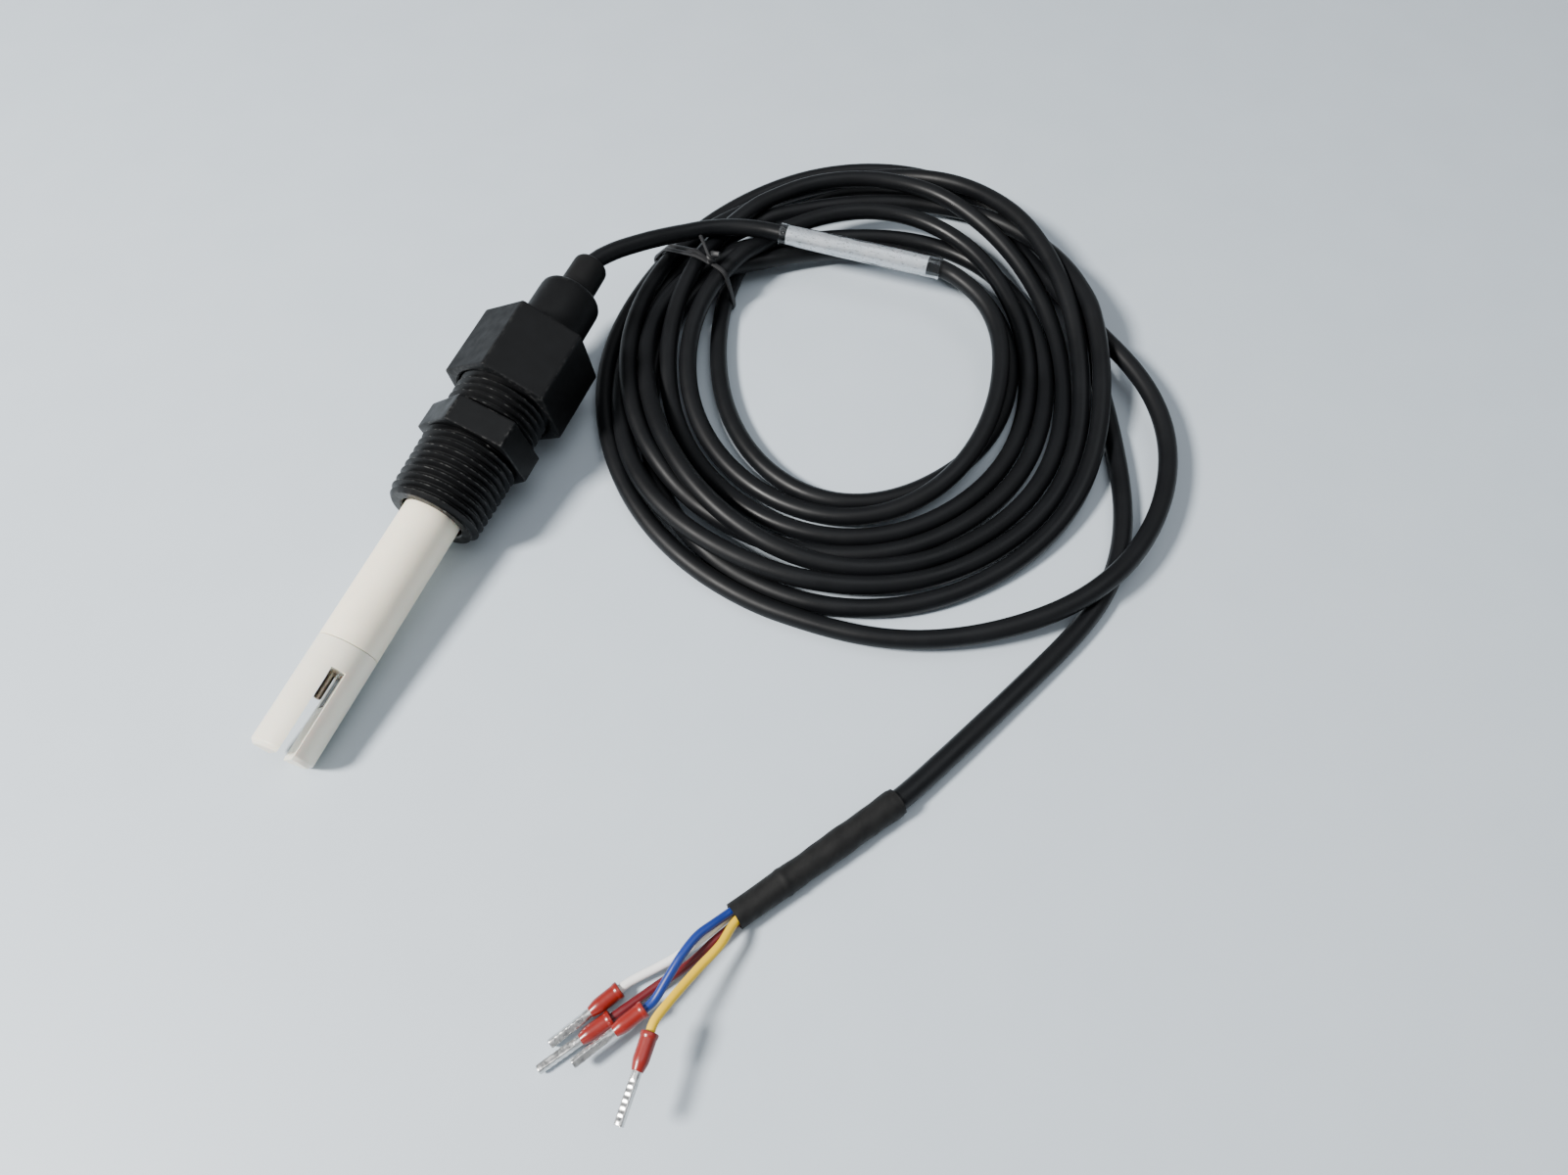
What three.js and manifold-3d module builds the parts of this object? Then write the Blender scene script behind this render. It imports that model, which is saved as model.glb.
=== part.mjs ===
// Fork-ended conductivity and soil probe: a white sensing tube in a black threaded bushing and
// hex cap, with a tied coil of cable that ends in four ferruled wires.
// Millimetres, +Z up, standing surface at z = 0, +X along the probe from its fork to its cable.
import * as THREE from 'three';
import { mergeVertices } from 'three/addons/utils/BufferGeometryUtils.js';
import Module from 'manifold-3d';

const wasm = await Module();
wasm.setup();

// ---------------------------------------------------------------- driving dimensions (mm)
// Positions along the probe are measured from the fork's tip.
const TUBE_R = 6.1;
const TUBE_BORE_R = 4.3;
const TUBE_START = 23.6;
const TUBE_END = 98.0;
const HEAD_END = 23.3;
const SPIGOT_END = 29.0;
const SLOT_WIDTH = 2.9;
const SLOT_ROOT = 18.0;
const SLOT_TURN = THREE.MathUtils.degToRad(38);
const TIP_CHAMFER = 0.8;

const THREAD_PITCH = 1.814;
const THREAD_DEPTH = 1.15;
const TAPER_PER_MM = 1 / 32;
const BUSHING_START = 55.0;
const SMALL_HEX_START = 72.0;
const SMALL_HEX_END = 78.6;
const BUSHING_END = 93.6;
const BUSHING_TIP_R = 10.05;
const THREAD_SHOULDER_R = 10.6;
const THREAD_SHOULDER_WIDTH = 0.4;
const UPPER_THREAD_R = 10.45;
const BUSHING_BORE_R = 6.75;
const WAIST_R = 9.2;
const SEAL_PLACE = 64.5;
const SEAL_MEAN_R = 6.85;
const SEAL_SECTION_R = 0.6;
const SEAL_GROOVE_R = 7.75;
const SEAL_GROOVE_WIDTH = 1.8;
const SMALL_HEX_FLATS = 22.0;
const SMALL_HEX_TURN = THREE.MathUtils.degToRad(20);

const CAP_START = 86.0;
const CAP_END = 104.3;
const CAP_FLATS = 24.4;
const HEX_CORNER_CUT = 0.1;
const HEX_END_CHAMFER = 0.3;
const CAP_TURN = THREE.MathUtils.degToRad(27);
const CAP_CAVITY_END = 98.3;
const CAP_HOLE_R = 4.8;
const GASKET_END = 95.3;
const COLLAR_START = 95.6;
const BOSS_R = 7.4;
const BOSS_END = 119.3;
const BOSS_NECK_R = 4.5;
const BOSS_NECK_START = 100.0;
const RELIEF_END = 129.5;
const POTTING_START = 90.0;

const CABLE_R = 2.1;
const CABLE_HOLE_R = 2.4;
const WIRE_R = 0.8;
const INNER_LEAD_R = 0.55;
const INNER_LEAD_OFFSET = 2.3;
const GAP = 0.3;
// Turned profiles of solid pieces stop this far from the axis.
const AXIS_R = 0.001;

// The probe lies with its tip and the cap's lower corner on the standing surface.
const PROBE_SLOPE = THREE.MathUtils.degToRad(5.275);
const TIP_X = -64.36;
const TIP_Z = 6.003;

// The oval coil's mean turn, and how its long axis is turned in plan.
const COIL_CENTRE = new THREE.Vector3(73.1, -62.4, 4.8);
const COIL_MEAN_R = 50.0;
const COIL_HALF_WIDTH = 13.9;
const COIL_HALF_HEIGHT = 4.6;
const COIL_STRETCH_SHORT = 0.872;
const COIL_STRETCH_LONG = 1.134;
const COIL_TURN = THREE.MathUtils.degToRad(-67.7);

// ---------------------------------------------------------------- materials
function material(name, colour, roughness, metalness = 0) {
  const made = new THREE.MeshStandardMaterial({ color: colour, roughness, metalness });
  made.name = name;
  return made;
}

const MATERIALS = {
  whitePlastic: material('tube_white_plastic', 0xe9e4d8, 0.5),
  headPlastic: material('head_white_plastic', 0xe4ddca, 0.5),
  graphite: material('graphite', 0x2b2926, 0.6),
  steel: material('pin_steel', 0xb9b0a2, 0.35, 1),
  blackPlastic: material('black_moulded_plastic', 0x141416, 0.6),
  capPlastic: material('black_cap_plastic', 0x1a1a1c, 0.55),
  rubber: material('seal_rubber', 0x101010, 0.7),
  potting: material('potting_resin', 0x1c1a18, 0.4),
  cable: material('cable_jacket', 0x1c1e22, 0.45),
  sleeve: material('clear_sleeve', 0xdfe6ea, 0.2),
  paper: material('label_paper', 0xf2f0ea, 0.8),
  shrink: material('heat_shrink', 0x121214, 0.55),
  tie: material('twist_tie', 0x17171a, 0.5),
  white: material('wire_white', 0xe8e6e0, 0.5),
  red: material('wire_red', 0x6e1414, 0.5),
  blue: material('wire_blue', 0x1f4fb0, 0.5),
  yellow: material('wire_yellow', 0xe0c020, 0.5),
  ferruleRed: material('ferrule_red', 0xb31a1a, 0.45),
  tin: material('ferrule_tin', 0xb8bcc0, 0.35, 1),
};

const assembly = new THREE.Group();
assembly.name = 'soil_conductivity_probe';

function addNode(name, geometry, slot) {
  const mesh = new THREE.Mesh(geometry, MATERIALS[slot]);
  mesh.name = name;
  assembly.add(mesh);
}

// ---------------------------------------------------------------- frames
// Maps a shape drawn along +Y, with +Z as its upper side, onto a line in the row frame.
function alongLine(start, direction) {
  const forward = direction.clone().normalize();
  const side = new THREE.Vector3().crossVectors(forward, new THREE.Vector3(0, 0, 1)).normalize();
  const up = new THREE.Vector3().crossVectors(side, forward);
  const frame = new THREE.Matrix4().makeBasis(side, forward, up);
  frame.setPosition(start);
  return frame;
}

const PROBE_DIRECTION = new THREE.Vector3(Math.cos(PROBE_SLOPE), 0, Math.sin(PROBE_SLOPE));
const PROBE_FRAME = alongLine(new THREE.Vector3(TIP_X, 0, TIP_Z), PROBE_DIRECTION);

function onProbe(geometry) {
  return geometry.applyMatrix4(PROBE_FRAME);
}

function probePoint(distance) {
  return new THREE.Vector3(0, distance, 0).applyMatrix4(PROBE_FRAME);
}

// ---------------------------------------------------------------- solids
// profile is a closed list of [radius, distance] pairs, walked anticlockwise.
function turned(profile, segments) {
  const points = profile.map(([radius, distance]) => new THREE.Vector2(radius, distance));
  points.push(points[0].clone());
  return new THREE.LatheGeometry(points, segments);
}

function toSolid(geometry) {
  const bare = new THREE.BufferGeometry();
  bare.setAttribute('position', geometry.getAttribute('position').clone());
  if (geometry.index) {
    bare.setIndex(geometry.index.clone());
  }
  const merged = mergeVertices(bare, 1e-4);
  const mesh = new wasm.Mesh({
    numProp: 3,
    vertProperties: new Float32Array(merged.getAttribute('position').array),
    triVerts: new Uint32Array(merged.index.array),
  });
  return new wasm.Manifold(mesh);
}

function toGeometry(solid) {
  const mesh = solid.getMesh();
  const geometry = new THREE.BufferGeometry();
  geometry.setAttribute('position', new THREE.BufferAttribute(new Float32Array(mesh.vertProperties), 3));
  geometry.setIndex(new THREE.BufferAttribute(new Uint32Array(mesh.triVerts), 1));
  geometry.computeVertexNormals();
  return geometry;
}

function cylinderAlong(radius, from, to, segments = 24) {
  const shape = new THREE.CylinderGeometry(radius, radius, to - from, segments);
  shape.translate(0, (from + to) / 2, 0);
  return shape;
}

function rod(radius, from, to, segments = 16) {
  return toGeometry(toSolid(cylinderAlong(radius, from, to, segments)));
}

// A hexagonal prism along +Y whose first flat faces up before it is turned about the axis.
// A round blank with chamfered ends takes the sharpness off its corners.
function hexPrism(acrossFlats, from, to, turn) {
  const cornerR = acrossFlats / Math.sqrt(3);
  const blankR = cornerR - HEX_CORNER_CUT;
  const endR = blankR - HEX_END_CHAMFER;
  const prism = new THREE.CylinderGeometry(cornerR, cornerR, to - from, 6);
  prism.rotateY(Math.PI / 6 + turn);
  prism.translate(0, (from + to) / 2, 0);
  const blank = [
    [AXIS_R, from],
    [endR, from],
    [blankR, from + HEX_END_CHAMFER],
    [blankR, to - HEX_END_CHAMFER],
    [endR, to],
    [AXIS_R, to],
  ];
  return toSolid(prism).intersect(toSolid(turned(blank, 48)));
}

// ---------------------------------------------------------------- sensing tube and head
function probeTube() {
  const profile = [
    [TUBE_BORE_R, TUBE_START],
    [TUBE_R, TUBE_START],
    [TUBE_R, TUBE_END],
    [TUBE_BORE_R, TUBE_END],
  ];
  return onProbe(turned(profile, 40));
}

function slotBox(width, depth, from, to, offset) {
  const box = new THREE.BoxGeometry(width, to - from, depth);
  box.translate(offset, (from + to) / 2, 0);
  box.rotateY(SLOT_TURN);
  return toSolid(box);
}

const PLATE_START = 11.4;
const PLATE_END = 17.4;
const PLATE_HEIGHT = 5.0;
const PLATE_THICKNESS = 0.6;
const PIN_START = 12.2;
const PIN_END = 21.7;
const PIN_R = 0.75;

function cellHead() {
  const outline = [
    [AXIS_R, 0],
    [TUBE_R - TIP_CHAMFER, 0],
    [TUBE_R, TIP_CHAMFER],
    [TUBE_R, HEAD_END],
    [TUBE_BORE_R - GAP, HEAD_END],
    [TUBE_BORE_R - GAP, SPIGOT_END],
    [AXIS_R, SPIGOT_END],
  ];
  const pocketDepth = PLATE_THICKNESS + GAP;
  const pocketOffset = (SLOT_WIDTH + pocketDepth) / 2;
  const overlap = 0.02;
  const pocket = (side) => slotBox(
    pocketDepth + overlap,
    PLATE_HEIGHT + 2 * GAP,
    PLATE_START - GAP,
    PLATE_END + GAP,
    side * (pocketOffset - overlap / 2),
  );
  const head = toSolid(turned(outline, 40))
    .subtract(slotBox(SLOT_WIDTH, 3 * TUBE_R, -1, SLOT_ROOT, 0))
    .subtract(pocket(1))
    .subtract(pocket(-1))
    .subtract(toSolid(cylinderAlong(PIN_R + GAP, SLOT_ROOT - 0.5, PIN_END + GAP, 16)));
  return onProbe(toGeometry(head));
}

function electrodePlate(side) {
  const offset = side * (SLOT_WIDTH + PLATE_THICKNESS) / 2;
  return onProbe(toGeometry(slotBox(PLATE_THICKNESS, PLATE_HEIGHT, PLATE_START, PLATE_END, offset)));
}

function temperaturePin() {
  const profile = [
    [AXIS_R, PIN_START],
    [PIN_R - 0.3, PIN_START],
    [PIN_R, PIN_START + 0.4],
    [PIN_R, PIN_END],
    [AXIS_R, PIN_END],
  ];
  return onProbe(toGeometry(toSolid(turned(profile, 16))));
}

function leadWire(index) {
  const angle = Math.PI / 4 + index * Math.PI / 2;
  const wire = cylinderAlong(INNER_LEAD_R, SPIGOT_END + GAP, POTTING_START - GAP, 8);
  wire.translate(INNER_LEAD_OFFSET * Math.cos(angle), 0, INNER_LEAD_OFFSET * Math.sin(angle));
  return onProbe(toGeometry(toSolid(wire)));
}

// ---------------------------------------------------------------- bushing and cap
// Ring grooves stand in for the helix: crests are one pitch apart and follow the taper.
function threadProfile(from, to, tipR, taper) {
  const points = [];
  const turns = Math.floor((to - from) / THREAD_PITCH);
  const lead = ((to - from) - turns * THREAD_PITCH) / 2;
  points.push([tipR - THREAD_DEPTH, from]);
  for (let i = 0; i < turns; i += 1) {
    const start = from + lead + i * THREAD_PITCH;
    const crest = tipR + taper * (start - from);
    points.push([crest - THREAD_DEPTH, start + 0.12]);
    points.push([crest, start + THREAD_PITCH / 2 - 0.15]);
    points.push([crest, start + THREAD_PITCH / 2 + 0.15]);
  }
  const lastR = tipR + taper * (to - from) - THREAD_DEPTH;
  points.push([lastR, to - 0.12]);
  return points;
}

function threadedBushing() {
  const lower = threadProfile(BUSHING_START, SMALL_HEX_START + 0.5, BUSHING_TIP_R, TAPER_PER_MM);
  const upper = threadProfile(SMALL_HEX_END - 0.5, BUSHING_END, UPPER_THREAD_R, 0);
  const waist = [[WAIST_R, SMALL_HEX_START + 0.6], [WAIST_R, SMALL_HEX_END - 0.6]];
  const outline = [
    [AXIS_R, BUSHING_START],
    ...lower,
    ...waist,
    ...upper,
    [UPPER_THREAD_R - THREAD_DEPTH, BUSHING_END],
    [AXIS_R, BUSHING_END],
  ];
  const spool = toSolid(turned(outline, 32));
  const hex = hexPrism(SMALL_HEX_FLATS, SMALL_HEX_START, SMALL_HEX_END, SMALL_HEX_TURN);
  // The taper thread ends in a plain ring, as wide as its last crest, against the hexagon.
  const shoulder = toSolid(
    cylinderAlong(THREAD_SHOULDER_R, SMALL_HEX_START - THREAD_SHOULDER_WIDTH, SMALL_HEX_START + 0.2, 32));
  const bore = toSolid(cylinderAlong(BUSHING_BORE_R, BUSHING_START - 1, BUSHING_END + 1, 32));
  const grooveStart = SEAL_PLACE - SEAL_GROOVE_WIDTH / 2;
  const groove = toSolid(cylinderAlong(SEAL_GROOVE_R, grooveStart, grooveStart + SEAL_GROOVE_WIDTH, 32));
  return onProbe(toGeometry(spool.add(hex).add(shoulder).subtract(bore).subtract(groove)));
}

function bushingSeal() {
  const ring = new THREE.TorusGeometry(SEAL_MEAN_R, SEAL_SECTION_R, 8, 32);
  ring.rotateX(Math.PI / 2);
  ring.translate(0, SEAL_PLACE, 0);
  return onProbe(ring);
}

function flatRing(innerR, outerR, from, to) {
  return onProbe(turned([[innerR, from], [outerR, from], [outerR, to], [innerR, to]], 32));
}

function hexCap() {
  const hex = hexPrism(CAP_FLATS, CAP_START, CAP_END, CAP_TURN);
  const cavity = toSolid(cylinderAlong(UPPER_THREAD_R + 0.4, CAP_START - 1, CAP_CAVITY_END, 40));
  const hole = toSolid(cylinderAlong(CAP_HOLE_R, CAP_CAVITY_END - 1, CAP_END + 1, 24));
  return onProbe(toGeometry(hex.subtract(cavity).subtract(hole)));
}

function cableBoss() {
  const foot = CAP_END + GAP;
  const profile = [
    [CABLE_HOLE_R, BOSS_NECK_START],
    [BOSS_NECK_R, BOSS_NECK_START],
    [BOSS_NECK_R, foot],
    [BOSS_R, foot],
    [BOSS_R, BOSS_END - 2.2],
    [BOSS_R - 0.5, BOSS_END - 0.8],
    [BOSS_R - 1.6, BOSS_END],
    [CABLE_HOLE_R, BOSS_END],
  ];
  return onProbe(turned(profile, 36));
}

function strainRelief() {
  const foot = BOSS_END + GAP;
  const profile = [
    [CABLE_HOLE_R, foot],
    [4.5, foot],
    [4.1, foot + 0.8],
    [4.1, RELIEF_END - 2.4],
    [3.7, RELIEF_END - 0.7],
    [3.0, RELIEF_END],
    [CABLE_HOLE_R, RELIEF_END],
  ];
  return onProbe(turned(profile, 28));
}

// ---------------------------------------------------------------- cable
function circleShape(radius, sides, holeRadius = 0) {
  const ring = (r) => Array.from({ length: sides }, (_, i) => {
    const angle = (i + 0.5) * 2 * Math.PI / sides;
    return new THREE.Vector2(r * Math.cos(angle), r * Math.sin(angle));
  });
  const shape = new THREE.Shape(ring(radius));
  if (holeRadius > 0) {
    shape.holes.push(new THREE.Path(ring(holeRadius).reverse()));
  }
  return shape;
}

function tubeAlong(points, radius, steps, sides = 8, holeRadius = 0) {
  const path = new THREE.CatmullRomCurve3(points.map((p) => new THREE.Vector3(...p)), false, 'centripetal');
  const options = { steps, extrudePath: path, bevelEnabled: false };
  return new THREE.ExtrudeGeometry(circleShape(radius, sides, holeRadius), options);
}

// The label's sleeve sits on a straight stretch of the cable.
const LABEL_START = new THREE.Vector3(98.3, -34.5, 11.9);
const LABEL_END = new THREE.Vector3(101.3, -75.5, 11.9);

function labelPoint(fraction) {
  return new THREE.Vector3().lerpVectors(LABEL_START, LABEL_END, fraction).toArray();
}

const CABLE_EXIT_ROUTE = [
  probePoint(BOSS_NECK_START + GAP).toArray(),
  probePoint(115).toArray(),
  probePoint(126).toArray(),
  probePoint(130.5).toArray(),
  [71.2, -2.4, 18.0],
  [79.6, -7.6, 16.6],
  [87.2, -12.9, 14.5],
  [93.6, -18.9, 12.7],
  [96.6, -25.0, 12.0],
  labelPoint(-0.08),
  labelPoint(0.02),
  labelPoint(0.5),
  labelPoint(0.98),
  labelPoint(1.08),
  [99.6, -83.2, 11.9],
  [95.9, -88.2, 11.9],
];

const OUTER_LOOP_ROUTE = [
  [102.3, -113.6, 6.6],
  [99.4, -120.6, 5.8],
  [91.2, -130.8, 3.6],
  [76.2, -140.0, 2.4],
  [65.4, -142.0, 2.8],
  [52.9, -140.4, 4.4],
  [41.1, -137.2, 6.4],
  [33.0, -133.7, 7.1],
  [26.4, -128.7, 6.4],
  [20.1, -122.2, 4.8],
  [12.5, -112.0, 2.8],
  [6.8, -100.9, 2.3],
  [4.3, -92.9, 2.3],
];

const TAIL_ROUTE = [
  [84.6, -123.6, 2.3],
  [76.3, -127.3, 2.3],
  [65.2, -131.2, 2.3],
  [54.3, -134.1, 2.3],
  [43.3, -135.3, 2.3],
  [32.2, -134.8, 2.3],
  [21.2, -131.0, 2.3],
  [12.6, -127.3, 2.3],
  [1.2, -123.0, 2.3],
  [-12.4, -117.2, 2.3],
  [-20.8, -113.2, 2.5],
  [-27.1, -110.0, 2.8],
  [-36.0, -104.3, 2.8],
  [-49.5, -95.7, 2.8],
];

// Point beside the coil: angle round the oval, outward offset from its mean turn, height.
function coilPoint(angle, offset, height) {
  const radius = COIL_MEAN_R + offset;
  const point = new THREE.Vector3(
    radius * Math.cos(angle) * COIL_STRETCH_SHORT,
    radius * Math.sin(angle) * COIL_STRETCH_LONG,
    height,
  );
  point.applyAxisAngle(new THREE.Vector3(0, 0, 1), COIL_TURN);
  return point.add(COIL_CENTRE);
}

function cableCoil() {
  const sides = 10;
  const section = [];
  for (let i = 0; i < sides; i += 1) {
    const angle = i * 2 * Math.PI / sides;
    section.push([COIL_MEAN_R + COIL_HALF_WIDTH * Math.cos(angle), COIL_HALF_HEIGHT * Math.sin(angle)]);
  }
  const ring = turned(section, 40);
  ring.rotateX(Math.PI / 2);
  ring.scale(COIL_STRETCH_SHORT, COIL_STRETCH_LONG, 1);
  ring.rotateZ(COIL_TURN);
  ring.translate(COIL_CENTRE.x, COIL_CENTRE.y, COIL_CENTRE.z);
  return ring;
}

// A straight sleeve round the labelled stretch of cable.
function labelShell(innerR, outerR, margin) {
  const frame = alongLine(LABEL_START, new THREE.Vector3().subVectors(LABEL_END, LABEL_START));
  const length = LABEL_START.distanceTo(LABEL_END);
  const profile = [[innerR, margin], [outerR, margin], [outerR, length - margin], [innerR, length - margin]];
  return turned(profile, 20).applyMatrix4(frame);
}

// An open wire arch over the coil's section: outward offset from the mean turn, then height.
function twistTie() {
  const angle = THREE.MathUtils.degToRad(150);
  const arch = [
    [15.7, -3.4],
    [15.5, -0.4],
    [12.7, 3.7],
    [7.0, 5.6],
    [0, 6.1],
    [-7.0, 5.6],
    [-12.7, 3.7],
    [-15.5, -0.4],
  ];
  const points = arch.map(([offset, height]) => coilPoint(angle, offset, height).toArray());
  return tubeAlong(points, 0.8, 12, 8);
}

// ---------------------------------------------------------------- shrink, wires and ferrules
const SHRINK_START = new THREE.Vector3(-27.6, -109.7, 2.8);
const SHRINK_END = new THREE.Vector3(-58.4, -90.1, 2.8);
const SHRINK_DIRECTION = new THREE.Vector3().subVectors(SHRINK_END, SHRINK_START).normalize();
const SHRINK_FRAME = alongLine(SHRINK_START, SHRINK_DIRECTION);

function heatShrink() {
  const length = SHRINK_START.distanceTo(SHRINK_END);
  const step = length - 10.5;
  const profile = [
    [2.4, 0],
    [2.75, 0],
    [2.75, step],
    [2.5, step + 1],
    [2.5, length],
    [2.2, length],
    [2.2, step + 1],
    [2.4, step],
  ];
  return turned(profile, 20).applyMatrix4(SHRINK_FRAME);
}

// Each lead: the wire's seat in the shrink, its free bend, and its ferrule's line.
const LEADS = [
  {
    colour: 'white',
    seat: [0.9, -0.9],
    bend: [-68.5, -83.4, 2.6],
    rear: [-76.6, -76.8, 1.75],
    tip: [-89.2, -69.6, 1.3],
  },
  {
    colour: 'red',
    seat: [-0.9, -0.9],
    bend: [-68.1, -86.2, 2.0],
    rear: [-81.2, -77.6, 1.75],
    tip: [-93.2, -69.8, 1.3],
  },
  {
    colour: 'blue',
    seat: [0.9, 0.9],
    bend: [-68.2, -84.8, 5.8],
    rear: [-78.0, -82.4, 3.9],
    tip: [-90.2, -75.2, 3.6],
  },
  {
    colour: 'yellow',
    seat: [-0.9, 0.9],
    bend: [-69.3, -88.4, 6.6],
    rear: [-81.4, -85.8, 9.2],
    tip: [-95.1, -87.2, 9.6],
  },
];

const FERRULE_SLEEVE = 6.0;
const FERRULE_LENGTH = 14.0;

function ferruleFrame(lead) {
  const rear = new THREE.Vector3(...lead.rear);
  const tip = new THREE.Vector3(...lead.tip);
  return alongLine(rear, new THREE.Vector3().subVectors(tip, rear));
}

function leadTube(lead) {
  const frame = ferruleFrame(lead);
  const seat = (distance) => new THREE.Vector3(lead.seat[0], distance, lead.seat[1])
    .applyMatrix4(SHRINK_FRAME).toArray();
  const ferrule = (distance) => new THREE.Vector3(0, distance, 0).applyMatrix4(frame).toArray();
  const points = [seat(26.4), seat(31.5), seat(36.8), lead.bend, ferrule(-1.6), ferrule(0.8), ferrule(3.2)];
  return tubeAlong(points, WIRE_R, 10, 8);
}

function ferruleSleeve(lead) {
  const profile = [
    [1.15, 0],
    [1.5, 0],
    [1.5, 0.5],
    [1.42, FERRULE_SLEEVE],
    [1.15, FERRULE_SLEEVE],
  ];
  return turned(profile, 14).applyMatrix4(ferruleFrame(lead));
}

function ferrulePin(lead) {
  const profile = [
    [AXIS_R, 3.6],
    [0.85, 3.6],
    [0.85, FERRULE_LENGTH - 0.4],
    [0.6, FERRULE_LENGTH],
    [AXIS_R, FERRULE_LENGTH],
  ];
  return toGeometry(toSolid(turned(profile, 12))).applyMatrix4(ferruleFrame(lead));
}

// ---------------------------------------------------------------- assembly
addNode('probe_tube', probeTube(), 'whitePlastic');
addNode('cell_head', cellHead(), 'headPlastic');
addNode('electrode_left', electrodePlate(-1), 'graphite');
addNode('electrode_right', electrodePlate(1), 'graphite');
addNode('temperature_pin', temperaturePin(), 'steel');
for (let i = 0; i < 4; i += 1) {
  addNode(`inner_lead_${i + 1}`, leadWire(i), 'tin');
}
addNode('potting_plug', onProbe(rod(TUBE_BORE_R - GAP, POTTING_START, TUBE_END, 24)), 'potting');
addNode('threaded_bushing', threadedBushing(), 'blackPlastic');
addNode('bushing_seal', bushingSeal(), 'rubber');
addNode('cap_gasket', flatRing(TUBE_R + GAP, 10.2, BUSHING_END + GAP, GASKET_END), 'rubber');
addNode('tube_collar', flatRing(TUBE_R + GAP, 10.3, COLLAR_START, TUBE_END), 'headPlastic');
addNode('hex_cap', hexCap(), 'capPlastic');
addNode('cable_boss', cableBoss(), 'capPlastic');
addNode('strain_relief', strainRelief(), 'rubber');
addNode('cable_exit', tubeAlong(CABLE_EXIT_ROUTE, CABLE_R, 20), 'cable');
addNode('label_paper', labelShell(2.25, 2.4, 1.5), 'paper');
addNode('label_sleeve', labelShell(2.55, 2.7, 0), 'sleeve');
addNode('cable_coil', cableCoil(), 'cable');
addNode('cable_outer_loop', tubeAlong(OUTER_LOOP_ROUTE, CABLE_R, 18), 'cable');
addNode('cable_tail', tubeAlong(TAIL_ROUTE, CABLE_R, 16), 'cable');
addNode('twist_tie', twistTie(), 'tie');
addNode('heat_shrink', heatShrink(), 'shrink');
for (const lead of LEADS) {
  addNode(`wire_${lead.colour}`, leadTube(lead), lead.colour);
  addNode(`ferrule_sleeve_${lead.colour}`, ferruleSleeve(lead), 'ferruleRed');
  addNode(`ferrule_pin_${lead.colour}`, ferrulePin(lead), 'tin');
}

export default assembly;
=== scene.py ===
"""Looks of the fork-ended soil conductivity probe: camera, light, materials and detailed pieces.

Metres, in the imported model's own frame: +Z up, +X along the probe from its fork to its cable.
"""
import math

import bpy
import bmesh
import numpy as np
from mathutils import Matrix, Vector


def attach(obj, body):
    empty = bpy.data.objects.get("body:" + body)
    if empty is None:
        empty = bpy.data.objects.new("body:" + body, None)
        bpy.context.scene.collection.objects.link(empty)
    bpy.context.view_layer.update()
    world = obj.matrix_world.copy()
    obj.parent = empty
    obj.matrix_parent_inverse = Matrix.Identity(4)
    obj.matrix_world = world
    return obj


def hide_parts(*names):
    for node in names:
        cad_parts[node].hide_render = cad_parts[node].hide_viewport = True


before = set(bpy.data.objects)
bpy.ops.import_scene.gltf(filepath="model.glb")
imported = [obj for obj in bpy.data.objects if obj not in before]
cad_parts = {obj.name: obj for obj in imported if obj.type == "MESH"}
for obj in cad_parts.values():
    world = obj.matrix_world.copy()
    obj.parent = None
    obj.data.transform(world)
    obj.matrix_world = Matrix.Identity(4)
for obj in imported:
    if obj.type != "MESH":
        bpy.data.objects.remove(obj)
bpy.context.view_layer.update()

# ---- dimensions shared with the CAD
PROBE_SLOPE = math.radians(5.275)
FORK_TIP = Vector((-0.06436, 0.0, 0.006003))
TUBE_R = 0.0061
TUBE_BORE_R = 0.0043
TUBE_START = 0.0235
TUBE_END = 0.098
HEAD_END = 0.0234
SPIGOT_END = 0.029
SLOT_WIDTH = 0.0029
SLOT_ROOT = 0.018
SLOT_TURN = math.radians(38)
TIP_CHAMFER = 0.0008
PIN_TIP = 0.0122
PIN_END = 0.0217
PIN_R = 0.00075

THREAD_PITCH = 0.001814
THREAD_DEPTH = 0.00115
TAPER = 1 / 32
BUSHING_START = 0.055
SMALL_HEX_START = 0.072
SMALL_HEX_END = 0.0786
BUSHING_END = 0.0936
BUSHING_TIP_R = 0.01005
UPPER_THREAD_R = 0.01045
BUSHING_BORE_R = 0.00675
BUSHING_NECK = 0.0004
BUSHING_NECK_R = 0.0098
SEAL_GROOVE_START = 0.0636
SEAL_GROOVE_END = 0.0654
SEAL_GROOVE_R = 0.00775
SMALL_HEX_FLATS = 0.022
SMALL_HEX_TURN = math.radians(20)

CAP_START = 0.086
CAP_END = 0.1043
CAP_FLATS = 0.0244
CAP_TURN = math.radians(27)
CAP_CAVITY_END = 0.0983
CAP_HOLE_R = 0.0048
BOSS_START = 0.1
BOSS_SPIGOT_R = 0.0045
BOSS_R = 0.0074
BOSS_END = 0.1193
RELIEF_R = 0.0041
RELIEF_FOOT_R = 0.0045
RELIEF_END = 0.1295

CABLE_R = 0.0021
CABLE_HOLE_R = 0.0024
WIRE_R = 0.0008
GAP = 0.0003
# A revolved piece's closed end narrows to this.
POLE_R = 0.00001

COIL_CENTRE = (0.0731, -0.0624)
COIL_SHORT = 0.872
COIL_LONG = 1.134
COIL_TURN = math.radians(-67.7)

PROBE_DIRECTION = Vector((math.cos(PROBE_SLOPE), 0.0, math.sin(PROBE_SLOPE)))
UP = Vector((0, 0, 1))


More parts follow.
